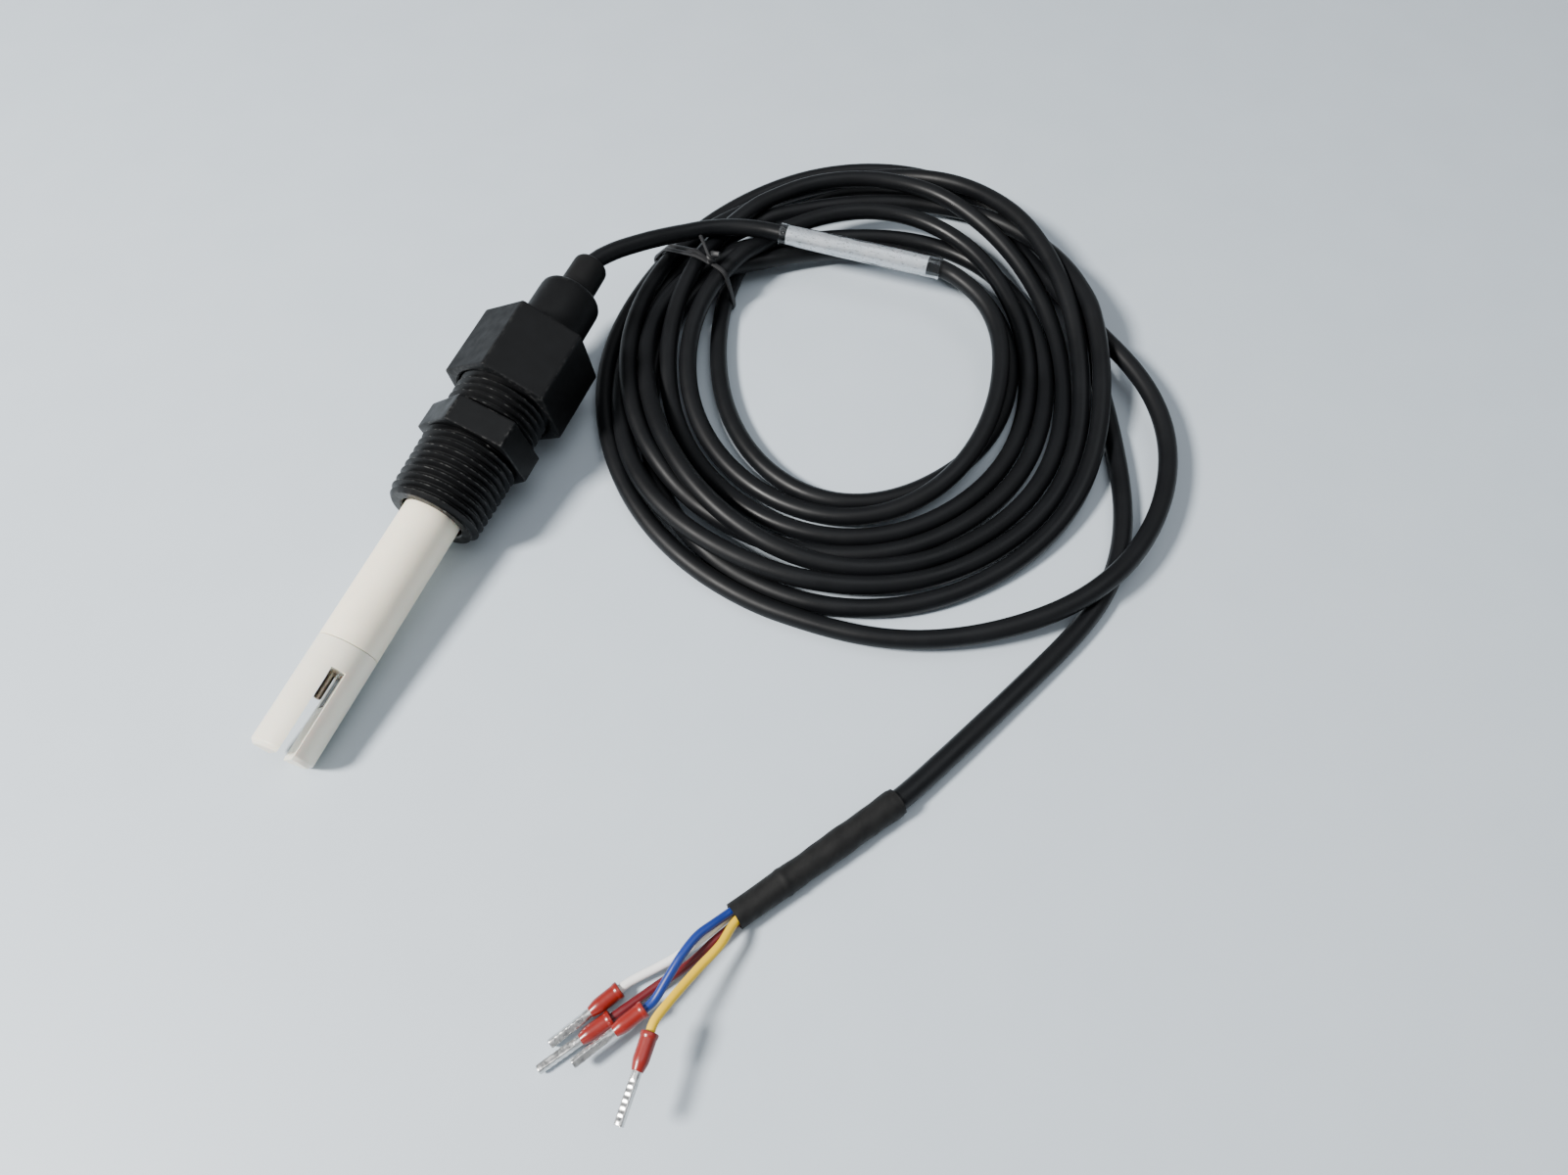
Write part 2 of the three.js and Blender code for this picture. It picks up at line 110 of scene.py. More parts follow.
def along_line(start, direction):
    """Frame whose +Y runs along direction and whose +Z is the upper side."""
    forward = direction.normalized()
    side = forward.cross(UP).normalized()
    up = side.cross(forward)
    placed = Matrix((side, forward, up)).transposed().to_4x4()
    placed.translation = Vector(start)
    return placed


PROBE_FRAME = along_line(FORK_TIP, PROBE_DIRECTION)


def probe_point(distance):
    return FORK_TIP + PROBE_DIRECTION * distance


# ---- camera, floor and light
CAMERA_PLACE = (-0.09616, -0.11496, 0.1874)
CAMERA_AIM = (0.00897, -0.07189, 0.0)
CAMERA_LENS = 23.68


def linked(name, data):
    """A new object in the scene."""
    made = bpy.data.objects.new(name, data)
    bpy.context.collection.objects.link(made)
    return made


def aim(piece, place, target):
    piece.location = place
    piece.rotation_euler = (Vector(target) - Vector(place)).to_track_quat("-Z", "Y").to_euler()


def add_camera():
    data = bpy.data.cameras.new("camera")
    data.lens = CAMERA_LENS
    data.clip_start = 0.01
    camera = linked("camera", data)
    aim(camera, CAMERA_PLACE, CAMERA_AIM)
    bpy.context.scene.camera = camera


def add_area_light(name, place, target, size, power, tint):
    data = bpy.data.lights.new(name, "AREA")
    data.shape = "DISK"
    data.size = size
    data.energy = power
    data.color = tint
    aim(linked(name, data), place, target)


def add_world(strength):
    world = bpy.data.worlds.new("studio")
    world.use_nodes = True
    background = world.node_tree.nodes["Background"]
    background.inputs["Color"].default_value = (0.86, 0.9, 0.95, 1)
    background.inputs["Strength"].default_value = strength
    bpy.context.scene.world = world


def add_floor():
    half = 1.6
    corners = [(-half, -half, 0), (half, -half, 0), (half, half, 0), (-half, half, 0)]
    mesh = bpy.data.meshes.new("floor")
    mesh.from_pydata(corners, [], [(0, 1, 2, 3)])
    mesh.materials.append(MATERIALS["pale_floor"])
    linked("floor", mesh)


# ---- cable
LABEL_START = Vector((0.0983, -0.0345, 0.0119))
LABEL_END = Vector((0.1013, -0.0755, 0.0119))
EXIT_ROUTE = [
    *(probe_point(distance) for distance in (0.1003, 0.115, 0.126, 0.1305)),
    (0.0712, -0.0024, 0.0175), (0.0796, -0.0076, 0.0159), (0.0872, -0.0129, 0.0138),
    (0.0936, -0.0189, 0.0123), (0.0966, -0.0250, 0.0120),
    *(LABEL_START.lerp(LABEL_END, share) for share in (-0.08, 0.02, 0.5, 0.98, 1.08)),
    (0.1003, -0.0824, 0.0115), (0.0967, -0.0885, 0.0108),
]
OUTER_LOOP_ROUTE = [
    (0.1023, -0.1136, 0.0066), (0.0987, -0.1200, 0.0058), (0.0910, -0.1300, 0.0036),
    (0.0766, -0.1388, 0.0024), (0.0654, -0.1412, 0.0028), (0.0529, -0.1412, 0.0044),
    (0.0404, -0.1388, 0.0064), (0.0318, -0.1354, 0.0071), (0.0250, -0.1306, 0.0064),
    (0.0184, -0.1238, 0.0048), (0.0107, -0.1130, 0.0028), (0.0052, -0.1013, 0.0023),
    (0.0034, -0.0931, 0.0023), (0.0032, -0.0801, 0.0023),
]
TAIL_ROUTE = [
    (0.0838, -0.1222, 0.0023), (0.0757, -0.1260, 0.0023), (0.0650, -0.1306, 0.0023),
    (0.0545, -0.1345, 0.0023), (0.0434, -0.1364, 0.0023), (0.0322, -0.1362, 0.0023),
    (0.0208, -0.1324, 0.0023), (0.0122, -0.1284, 0.0023), (0.0010, -0.1234, 0.0023),
    (-0.0124, -0.1172, 0.0023), (-0.0208, -0.1132, 0.0025), (-0.0271, -0.1100, 0.0028),
    (-0.0360, -0.1043, 0.0028), (-0.0495, -0.0957, 0.0028),
]
# The last place before the heat-shrink takes hold.
BEFORE_SHRINK = TAIL_ROUTE[-4]
# Radii of the coil's inner and outer lanes every 30 degrees, before it is stretched to an oval.
INNER_LANE = [
    0.0414, 0.0420, 0.0410, 0.0385, 0.0345, 0.0365,
    0.0366, 0.0367, 0.0380, 0.0392, 0.0384, 0.0398,
]
OUTER_LANE = [
    0.0655, 0.0675, 0.0683, 0.0626, 0.0592, 0.0600,
    0.0633, 0.0650, 0.0610, 0.0585, 0.0603, 0.0658,
]
# Where each turn lies between the two lanes as it passes 0, -90, -180 and -270 degrees.
TURN_LANES = [
    (0.00, 0.16, 0.32, 0.19),
    (0.37, 0.38, 0.52, 0.58),
    (0.75, 0.76, 0.71, -0.07),
    (0.54, 0.57, 0.90, 0.82),
    (0.93, 0.95, 1.07, 0.38),
    (1.08, 1.18, 0.62, -0.20),
    (0.20, 0.00, 0.00, 0.62),
]
LAST_LANE = 0.85
POINTS_PER_TURN = 30
LAST_TURN_POINTS = 18
TURNS_START = math.radians(12)
TURNS_END = math.radians(25)
# The outermost strand, which is wound before the tail leaves the coil underneath.
LAST_TURN_START = math.radians(-122)
LAST_TURN_END = math.radians(-338)
LAST_TURN_LANES = [1.13, 1.06, 1.06, 1.03, 1.00, 1.00, 1.00, 0.99, 0.95]
CABLE_STEP = 0.002


def coil_place(angle, radius):
    """Plan point of the oval coil, at an angle and radius of its unstretched circle."""
    x = radius * math.cos(angle) * COIL_SHORT
    y = radius * math.sin(angle) * COIL_LONG
    cos, sin = math.cos(COIL_TURN), math.sin(COIL_TURN)
    return (COIL_CENTRE[0] + x * cos - y * sin, COIL_CENTRE[1] + x * sin + y * cos, CABLE_R)


def ease(t):
    """0 to 1 with a gentle start and end; anything outside is held at 0 or 1."""
    t = min(max(t, 0.0), 1.0)
    return t * t * (3 - 2 * t)


def lane_radius(lane, angle):
    """Radius of a lane, 0 at the coil's inner edge and 1 at its outer edge."""
    stations = np.linspace(0, 2 * math.pi, len(INNER_LANE) + 1)
    inner = np.interp(angle % (2 * math.pi), stations, INNER_LANE + INNER_LANE[:1])
    outer = np.interp(angle % (2 * math.pi), stations, OUTER_LANE + OUTER_LANE[:1])
    return float(inner + (outer - inner) * lane)


def main_turns():
    """Plan points of the turns, each drifting from lane to lane."""
    places = []
    lanes = [*sum(TURN_LANES, ()), LAST_LANE, LAST_LANE]
    first = math.ceil(-TURNS_START / (2 * math.pi) * POINTS_PER_TURN)
    last = round(len(TURN_LANES) * POINTS_PER_TURN - TURNS_END / (2 * math.pi) * POINTS_PER_TURN)
    for i in range(first, last + 1):
        quarter, part = divmod(4 * i / POINTS_PER_TURN, 1)
        before = lanes[max(int(quarter), 0)]
        after = lanes[max(int(quarter) + 1, 0)]
        angle = -2 * math.pi * i / POINTS_PER_TURN
        places.append(coil_place(angle, lane_radius(before + (after - before) * ease(part), angle)))
    return places


def last_turn():
    """Plan points of the outermost strand."""
    places = []
    for i in range(LAST_TURN_POINTS + 1):
        t = i / LAST_TURN_POINTS
        lane = np.interp(t, np.linspace(0, 1, len(LAST_TURN_LANES)), LAST_TURN_LANES)
        angle = LAST_TURN_START + (LAST_TURN_END - LAST_TURN_START) * t
        places.append(coil_place(angle, lane_radius(lane, angle)))
    return places


def spline_through(places):
    """Evenly stepped points on a cubic curve through the places."""
    knots = np.array(places)
    along = np.r_[0, np.cumsum(np.linalg.norm(np.diff(knots[:, :2], axis=0), axis=1))]
    slopes = np.gradient(knots[:, :2], along, axis=0)
    stations = np.arange(0, along[-1], CABLE_STEP)
    k = np.clip(np.searchsorted(along, stations, side="right") - 1, 0, len(along) - 2)
    span = along[k + 1] - along[k]
    t = (stations - along[k]) / span
    a, b, c, d = 2 * t**3 - 3 * t**2 + 1, t**3 - 2 * t**2 + t, -2 * t**3 + 3 * t**2, t**3 - t**2
    plan = (a[:, None] * knots[k, :2] + (b * span)[:, None] * slopes[k]
            + c[:, None] * knots[k + 1, :2] + (d * span)[:, None] * slopes[k + 1])
    height = knots[k, 2] + (knots[k + 1, 2] - knots[k, 2]) * t
    return np.c_[plan, height]


def neighbours(values, reach):
    """The values up to reach places before and after each one, as a list of shifted arrays."""
    index = np.arange(len(values))
    return [values[np.clip(index + shift, 0, len(values) - 1)] for shift in range(-reach, reach + 1)]


CROSSING_LEVELS = 14
CROSSING_REACH = 4
# Points nearer along the cable than this can't cross each other.
OWN_POINTS = 8


def stacked(path):
    """Lifts each stretch over the later ones that it crosses, so that no two share a place."""
    width = 2 * CABLE_R
    gap = ((path[:, None, :2] - path[None, :, :2]) ** 2).sum(-1)
    index = np.arange(len(path))
    upper, lower = np.where((gap < width**2) & (index[None] - index[:, None] > OWN_POINTS))
    lift = np.sqrt(width**2 - gap[upper, lower])
    height = path[:, 2]
    for _ in range(CROSSING_LEVELS):
        wanted = path[:, 2].copy()
        np.maximum.at(wanted, upper, height[lower] + lift)
        widened = np.max(neighbours(wanted, CROSSING_REACH), axis=0)
        height = np.mean(neighbours(widened, CROSSING_REACH), axis=0)
    return np.c_[path[:, :2], height]


def rounded_off(path, hold, reach):
    """Takes the sharp bends out of the route, except where something holds the cable to it."""
    for _ in range(2):
        mean = np.mean(neighbours(path, reach), axis=0)
        path = mean + hold[:, None] * (path - mean)
    return path


# How far apart the points of each bending test are, and how much of the bend it takes out.
BENDING = [(1, 0.06), (2, 0.06), (4, 0.05), (8, 0.04)]
SETTLE_ROUNDS = 400
# In the last rounds the cable falls more slowly and its strands are pushed apart more often.
LATE_START = 0.8
FALL_STEP = 0.00006
LATE_FALL = 0.1
PUSHES = 3
LATE_PUSHES = 9
PUSH_SHARE = 1.5
LENGTH_SHARE = 0.25
PLAN_HOLD = 0.015
LOWERING = 0.02
# Which strands are close enough to meet is looked up again after this many rounds.
SEARCH_EVERY = 10
SEARCH_MARGIN = 0.0025
FEWEST_POINTS_BETWEEN = 6
# How many points beyond the label and before the heat-shrink still feel them.
HOLD_FADE = 14


def straighten(path, rest, moves):
    """Takes out bend that the coiled resting shape does not have, over short and long stretches."""
    offset = path - rest
    for k, share in BENDING:
        bend = np.zeros_like(path)
        bend[2 * k:-2 * k] = (-offset[:-4 * k] + 4 * offset[k:-3 * k] - 6 * offset[2 * k:-2 * k]
                              + 4 * offset[3 * k:-k] - offset[4 * k:])
        offset += share * bend * moves
    path[:] = rest + offset


def keep_length(path, lengths, moves):
    """Pulls each step of the path towards its own length."""
    step = path[1:] - path[:-1]
    now = np.linalg.norm(step, axis=1)
    share = ((now - lengths) / now * LENGTH_SHARE)[:, None] * step
    path[:-1] += share * moves[:-1]
    path[1:] -= share * moves[1:]


def push_apart(path, first, second, moves):
    """Moves touching stretches of cable apart until their centres are one diameter away."""
    width = 2 * CABLE_R
    count = len(path)
    between = path[first] - path[second]
    distance = np.linalg.norm(between, axis=1) + 1e-9
    close = distance < width
    i, j = first[close], second[close]
    push = ((width - distance[close]) * 0.5 / distance[close])[:, None] * between[close]
    touches = np.bincount(i, minlength=count) + np.bincount(j, minlength=count)
    total = np.stack([np.bincount(i, push[:, k], count) - np.bincount(j, push[:, k], count)
                      for k in range(3)], axis=1)
    path += total * (PUSH_SHARE / np.maximum(touches, 1))[:, None] * moves
    path[:, 2] = np.where(moves[:, 0] > 0, np.maximum(path[:, 2], CABLE_R), path[:, 2])


def settled(path, heights, hold):
    """Lets the cable sink onto the floor and onto itself; hold pins it to its plan and heights."""
    plan = path.copy()
    path = path.copy()
    rest = np.c_[plan[:, :2], np.zeros(len(plan))]
    lengths = np.linalg.norm(np.diff(path, axis=0), axis=1)
    moves = (hold < 1).astype(float)[:, None]
    firm = np.maximum(hold, PLAN_HOLD)[:, None]
    for turn in range(SETTLE_ROUNDS):
        if turn % SEARCH_EVERY == 0:
            near = ((path[:, None] - path[None]) ** 2).sum(-1) < (2 * CABLE_R + SEARCH_MARGIN) ** 2
            first, second = np.where(np.triu(near, FEWEST_POINTS_BETWEEN))
        late = turn > LATE_START * SETTLE_ROUNDS
        path[:, 2] -= FALL_STEP * (LATE_FALL if late else 1.0) * (1 - hold)
        straighten(path, rest, moves)
        path[:, :2] += (firm * (plan[:, :2] - path[:, :2])) * moves
        path[:, 2] += LOWERING * hold * (heights - path[:, 2])
        for _ in range(2):
            keep_length(path, lengths, moves)
        for _ in range(LATE_PUSHES if late else PUSHES):
            push_apart(path, first, second, moves)
    return path


def holding(path):
    """1 from the gland to the label's end and inside the heat-shrink, falling off beside them."""
    label_end = np.argmin(np.linalg.norm(path - np.array(LABEL_END), axis=1))
    shrink_start = np.argmin(np.linalg.norm(path[:, :2] - np.array(BEFORE_SHRINK[:2]), axis=1))
    index = np.arange(len(path))
    beyond_label = np.clip(1 - (index - label_end) / HOLD_FADE, 0, 1)
    before_shrink = np.clip(1 - (shrink_start - index) / HOLD_FADE, 0, 1)
    return np.maximum(beyond_label, before_shrink) ** 2


def cable_path():
    """The whole cable's centreline, from inside the boss to inside the heat-shrink."""
    route = EXIT_ROUTE + main_turns() + OUTER_LOOP_ROUTE + last_turn() + TAIL_ROUTE
    flat = spline_through(route)
    hold = holding(flat)
    flat = rounded_off(flat, hold, reach=5)
    return rounded_off(settled(stacked(flat), flat[:, 2], hold), hold, reach=1)


def cord_curve(name, path, radius, slot, *nodes):
    """Round cord along a path, standing for CAD nodes."""
    curve = bpy.data.curves.new(name, "CURVE")
    curve.dimensions = "3D"
    curve.bevel_depth = radius
    curve.bevel_resolution = 4
    curve.use_fill_caps = True
    spline = curve.splines.new("POLY")
    spline.points.add(len(path) - 1)
    for point, place in zip(spline.points, path):
        point.co = (*place, 1)
    spline.use_smooth = True
    curve.materials.append(MATERIALS[slot])
    piece = linked(name, curve)
    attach(piece, "probe")
    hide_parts(*nodes)
    return piece


# ---- procedural materials
# Every material made below, by the name of its slot.
MATERIALS = {}
# Sockets of a Mix node that mixes colours.
MIX_BASE = 6
MIX_TINT = 7
MIX_RESULT = 2


class Shader:
    """A Principled material whose colour, roughness and bump come from nodes."""

    def __init__(self, name, **constants):
        material = bpy.data.materials.new(name)
        material.use_nodes = True
        MATERIALS[name] = material
        self.tree = material.node_tree
        self.bsdf = self.tree.nodes["Principled BSDF"]
        for socket, value in constants.items():
            self.bsdf.inputs[socket.replace("_", " ")].default_value = value
        self.place = self.add("TexCoord", "Object", {})

    def add(self, kind, output, inputs, **settings):
        """A new node's output. An input is linked if it is a socket, and set if it is a value."""
        made = self.tree.nodes.new("ShaderNode" + kind)
        for key, value in settings.items():
            setattr(made, key, value)
        for socket, value in inputs.items():
            if isinstance(value, bpy.types.NodeSocket):
                self.tree.links.new(value, made.inputs[socket])
            else:
                made.inputs[socket].default_value = value
        return made.outputs[output]

    def noise(self, scale, detail=4.0, stretch=None):
        """Noise, scaled unevenly by the stretch so that its pattern runs along one axis."""
        place = self.place
        if stretch:
            place = self.add("Mapping", "Vector", {"Scale": stretch, "Vector": place})
        inputs = {"Scale": scale, "Detail": detail, "Roughness": 0.55, "Vector": place}
        return self.add("TexNoise", "Fac", inputs)

    def ramp(self, factor, low, high, start=0.3, end=0.7):
        """Colour from low to high while the factor goes from start to end."""
        output = self.add("ValToRGB", "Color", {"Fac": factor})
        elements = output.node.color_ramp.elements
        for element, position, colour in zip(elements, (start, end), (low, high)):
            element.position = position
            element.color = (*colour, 1)
        return output

    def levels(self, factor, low, high, start=0.3, end=0.7):
        """Value from low to high while the factor goes from start to end."""
        inputs = {"From Min": start, "From Max": end, "To Min": low, "To Max": high}
        return self.add("MapRange", "Result", {**inputs, "Value": factor})

    def tinted(self, base, tint, factor):
        """The base colour, turned into the tint where the factor is 1."""
        inputs = {"Factor": factor, MIX_BASE: base, MIX_TINT: (*tint, 1)}
        return self.add("Mix", MIX_RESULT, inputs, data_type="RGBA")

    def finish(self, colour, factor, smooth, rough):
        """Takes the colour, and a roughness from smooth to rough as the factor rises."""
        self.tree.links.new(colour, self.bsdf.inputs["Base Color"])
        self.tree.links.new(self.levels(factor, smooth, rough), self.bsdf.inputs["Roughness"])

    def bump(self, height, strength, distance):
        """Makes the surface uneven by the height, on top of the bumps made before."""
        inputs = {"Strength": strength, "Distance": distance, "Height": height}
        normal = self.bsdf.inputs["Normal"]
        if normal.is_linked:
            inputs["Normal"] = normal.links[0].from_socket
        self.tree.links.new(self.add("Bump", "Normal", inputs), normal)


def shade(colour, factor):
    return tuple(min(1.0, channel * factor) for channel in colour)


BLACK = (0.0036, 0.0038, 0.0042)
# Pale grey laid on pointed edges: partly rubbed wear, partly a painted highlight along thread crests and
# hex corners.
RUBBED_AND_HIGHLIT = (0.32, 0.32, 0.31)


def moulded_plastic(name, colour, roughness, grain=2400, depth=0.00002, spread=0.12, wear_and_highlight=0.0,
                    **constants):
    """Injection-moulded or turned plastic: faint mottling, a fine surface grain, and pointed edges painted
    pale, partly as rubbed wear and partly as a painted highlight on thread crests.
    """
    shader = Shader(name, **constants)
    mottle = shader.noise(140, detail=5)
    base = shader.ramp(mottle, shade(colour, 1 - spread), shade(colour, 1 + spread))
    # Pointed edges turn pale grey where the scuff noise allows: partly rubbed wear, partly a painted
    # highlight on the thread crests.
    if wear_and_highlight:
        pointed = shader.add("NewGeometry", "Pointiness", {})
        edges = shader.levels(pointed, 0, wear_and_highlight, start=0.52, end=0.6)
        scuffs = shader.levels(shader.noise(900, detail=6), 0, 1, start=0.5, end=0.62)
        rubbing_and_highlight = shader.add("Math", 0, {0: edges, 1: scuffs}, operation="MULTIPLY")
        base = shader.tinted(base, RUBBED_AND_HIGHLIT, rubbing_and_highlight)
    shader.finish(base, shader.noise(320), roughness - 0.07, roughness + 0.09)
    fine = shader.noise(grain, detail=2)
    shader.bump(shader.noise(260), 0.25, depth * 4)
    shader.bump(fine, 0.45, depth)


def jacket(name, colour, roughness, **constants):
    """Extruded jacket: nearly even, with dull patches, a fine grain and a little dust."""
    shader = Shader(name, **constants)
    dust = shader.levels(shader.noise(3200, detail=3), 0, 1, start=0.66, end=0.78)
    base = shader.ramp(shader.noise(90), shade(colour, 0.8), shade(colour, 1.25))
    dusted = shader.tinted(base, shade(colour, 4.0), dust)
    shader.finish(dusted, shader.noise(60, detail=6), roughness - 0.1, roughness + 0.13)
    shader.bump(shader.noise(180), 0.3, 0.00012)
    shader.bump(shader.noise(1800, detail=3), 0.3, 0.00002)


def heat_shrink_material():
    """Shrunk tubing: matt, with shallow wrinkles round it."""
    shader = Shader("heat_shrink", Specular_IOR_Level=0.22)
    wrinkles = shader.noise(420, detail=5, stretch=(1.0, 1.6, 1.0))
    colour = shader.ramp(wrinkles, (0.005, 0.005, 0.0053), (0.01, 0.01, 0.0098), end=0.75)
    shader.finish(colour, shader.noise(700), 0.5, 0.72)
    shader.bump(shader.noise(130), 0.35, 0.0002)
    shader.bump(wrinkles, 0.35, 0.00004)


def fine_metal(name, colour, roughness, scratch, depth):
    """Bare metal with small scratches that break up its shine."""
    shader = Shader(name, Metallic=1.0)
    marks = shader.noise(scratch, detail=3)
    base = shader.ramp(shader.noise(600), shade(colour, 0.72), shade(colour, 1.1))
    shader.finish(base, marks, roughness - 0.08, roughness + 0.16)
    shader.bump(marks, 0.4, depth)


def graphite_material():
    """Pressed graphite: dark, flaky and slightly metallic."""
    shader = Shader("graphite", Metallic=0.35)
    flakes = shader.add("TexVoronoi", "Distance", {"Scale": 3500, "Vector": shader.place})
    colour = shader.ramp(flakes, (0.05, 0.047, 0.044), (0.02, 0.019, 0.018), start=0.1, end=0.8)
    shader.finish(colour, shader.noise(900), 0.4, 0.62)
    shader.bump(flakes, 0.3, 0.00003)


def label_paper_material():
    """Silvery marker film, slightly creased, that mirrors the light in soft bands."""
    shader = Shader("label_paper", Metallic=0.5)
    fibres = shader.noise(2600, detail=6, stretch=(1.0, 0.35, 1.0))
    colour = shader.ramp(fibres, (0.80, 0.82, 0.84), (0.92, 0.93, 0.94))
    shader.finish(colour, fibres, 0.24, 0.4)
    creases = shader.noise(260, detail=2, stretch=(1.0, 0.5, 1.0))
    shader.bump(creases, 0.25, 0.0002)
    shader.bump(fibres, 0.1, 0.00002)


def clear_sleeve_material():
    """Clear shrunk tubing: glossy, slightly milky and wrinkled."""
    shader = Shader("clear_sleeve", Transmission_Weight=1.0, IOR=1.42)
    haze = shader.noise(240, detail=5)
    colour = shader.ramp(haze, (0.86, 0.9, 0.93), (0.97, 0.98, 1.0))
    shader.finish(colour, haze, 0.02, 0.09)
    wrinkles = shader.noise(330, detail=4, stretch=(1.0, 0.4, 1.0))
    shader.bump(wrinkles, 0.6, 0.00025)


def floor_material():
    """Plain pale surface, barely mottled."""
    shader = Shader("pale_floor")
    grain = shader.noise(55, detail=6)
    colour = shader.ramp(grain, (0.50, 0.565, 0.625), (0.515, 0.58, 0.64))
    shader.finish(colour, grain, 0.5, 0.56)


WIRE_COLOURS = {
    "white": (0.86, 0.86, 0.84),
    "red": (0.12, 0.007, 0.011),
    "blue": (0.004, 0.026, 0.2),
    "yellow": (0.78, 0.49, 0.003),
}


def make_materials():
    moulded_plastic("tube_white_plastic", (0.9, 0.825, 0.665), 0.42, grain=3000, spread=0.03,
                    Subsurface_Weight=0.12, Subsurface_Scale=0.0012)
    moulded_plastic("head_white_plastic", (0.83, 0.785, 0.66), 0.36, grain=2600, spread=0.035,
                    Subsurface_Weight=0.15, Subsurface_Scale=0.0015)
    graphite_material()
    fine_metal("pin_steel", (0.70, 0.60, 0.51), 0.46, scratch=900, depth=0.000004)
    moulded_plastic("black_moulded_plastic", BLACK, 0.42, grain=1900, depth=0.00003, wear_and_highlight=0.3,
                    Specular_IOR_Level=0.18)
    moulded_plastic("black_cap_plastic", shade(BLACK, 1.2), 0.46, grain=2100, depth=0.000025, wear_and_highlight=0.12,
                    Specular_IOR_Level=0.16)
    moulded_plastic("seal_rubber", (0.012, 0.012, 0.012), 0.62, grain=3000)
    moulded_plastic("relief_rubber", (0.0065, 0.0065, 0.0068), 0.5, grain=2300, Specular_IOR_Level=0.18)
    moulded_plastic("potting_resin", (0.02, 0.017, 0.014), 0.3, grain=900, spread=0.3)
    jacket("cable_jacket", (0.0038, 0.0042, 0.005), 0.42, Specular_IOR_Level=0.2)
    clear_sleeve_material()
    label_paper_material()
    heat_shrink_material()
    jacket("twist_tie", (0.014, 0.014, 0.015), 0.46, Specular_IOR_Level=0.4)
    for name, colour in WIRE_COLOURS.items():
        moulded_plastic(f"wire_{name}", colour, 0.38, grain=4000, depth=0.000008, spread=0.07)
    moulded_plastic("ferrule_red", (0.21, 0.01, 0.006), 0.33, grain=2500, spread=0.1, Coat_Weight=0.2)
    fine_metal("ferrule_tin", (0.70, 0.70, 0.69), 0.3, scratch=1500, depth=0.00006)
    floor_material()


# ---- mesh helpers
SHARP_ANGLE = math.radians(32)


def finished_mesh(name, build, slot, node, body="probe"):
    """Turns a bmesh into a smooth-shaded piece that rides on a body and stands for a CAD node."""
    bmesh.ops.remove_doubles(build, verts=build.verts, dist=2e-6)
    bmesh.ops.dissolve_degenerate(build, dist=1e-6, edges=build.edges)
    bmesh.ops.recalc_face_normals(build, faces=build.faces)
    mesh = bpy.data.meshes.new(name)
    build.to_mesh(mesh)
    build.free()
    mesh.shade_smooth()
    mesh.set_sharp_from_angle(angle=SHARP_ANGLE)
    mesh.materials.append(MATERIALS[slot])
    piece = linked(name, mesh)
    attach(piece, body)
    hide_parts(node)
    return piece


def join_rows(build, rows, closed):
    """Faces between neighbouring rows of vertices, and from the last row to the first if closed."""
    following = rows[1:] + rows[:1] if closed else rows[1:]
    for low, high in zip(rows, following):
        for j in range(len(low) - 1):
            build.faces.new((low[j], low[j + 1], high[j + 1], high[j]))


def revolved(rows, columns, placed=PROBE_FRAME):
    """Closed skin round +Y. Each row is (radius, distance), or a function of the angle giving them."""
    build = bmesh.new()
    grid = []
    for row in rows:
        line = []
        for j in range(columns + 1):
            angle = 2 * math.pi * j / columns
            radius, distance = row(angle) if callable(row) else row
            place = Vector((radius * math.sin(angle), distance, radius * math.cos(angle)))
            line.append(build.verts.new(placed @ place))
        grid.append(line)
    join_rows(build, grid, closed=True)
    return build


def softened(profile, reaches, steps=4):
    """Rounds each corner of a closed profile from its own reach away; zero keeps it sharp."""
    corners = [Vector(point) for point in profile]
    points = []
    for i, (corner, reach) in enumerate(zip(corners, reaches)):
        if not reach:
            points.append(profile[i])
            continue
        start = corner + (corners[i - 1] - corner).normalized() * reach
        end = corner + (corners[(i + 1) % len(corners)] - corner).normalized() * reach
        for k in range(steps + 1):
            t = k / steps
            points.append(tuple(start.lerp(corner, t).lerp(corner.lerp(end, t), t)))
    return points


# ---- sensing tube and fork head
def sensing_tube():
    edge = 0.00015
    profile = [(TUBE_BORE_R, TUBE_START), (TUBE_R, TUBE_START), (TUBE_R, TUBE_END), (TUBE_BORE_R, TUBE_END)]
    build = revolved(softened(profile, [0, edge, edge, 0]), 96)
    finished_mesh("sensing_tube", build, "tube_white_plastic", "probe_tube")


def box(size):
    build = bmesh.new()
    bmesh.ops.create_cube(build, size=1.0)
    bmesh.ops.scale(build, verts=build.verts, vec=size)
    return build


def rod(radius, length):
    """Round rod along Y."""
    build = bmesh.new()
    bmesh.ops.create_cone(build, cap_ends=True, segments=32, radius1=radius, radius2=radius, depth=length)
    bmesh.ops.rotate(build, verts=build.verts, matrix=Matrix.Rotation(math.pi / 2, 3, "X"))
    return build


def cutter(build, offset, middle):
    """The build, placed in the turned head's own frame, kept only until it has cut the head."""
    spin = Matrix.Rotation(SLOT_TURN, 4, "Y")
    build.transform(PROBE_FRAME @ spin @ Matrix.Translation((offset, middle, 0)))
    mesh = bpy.data.meshes.new("cutter")
    build.to_mesh(mesh)
    build.free()
    return linked("cutter", mesh)


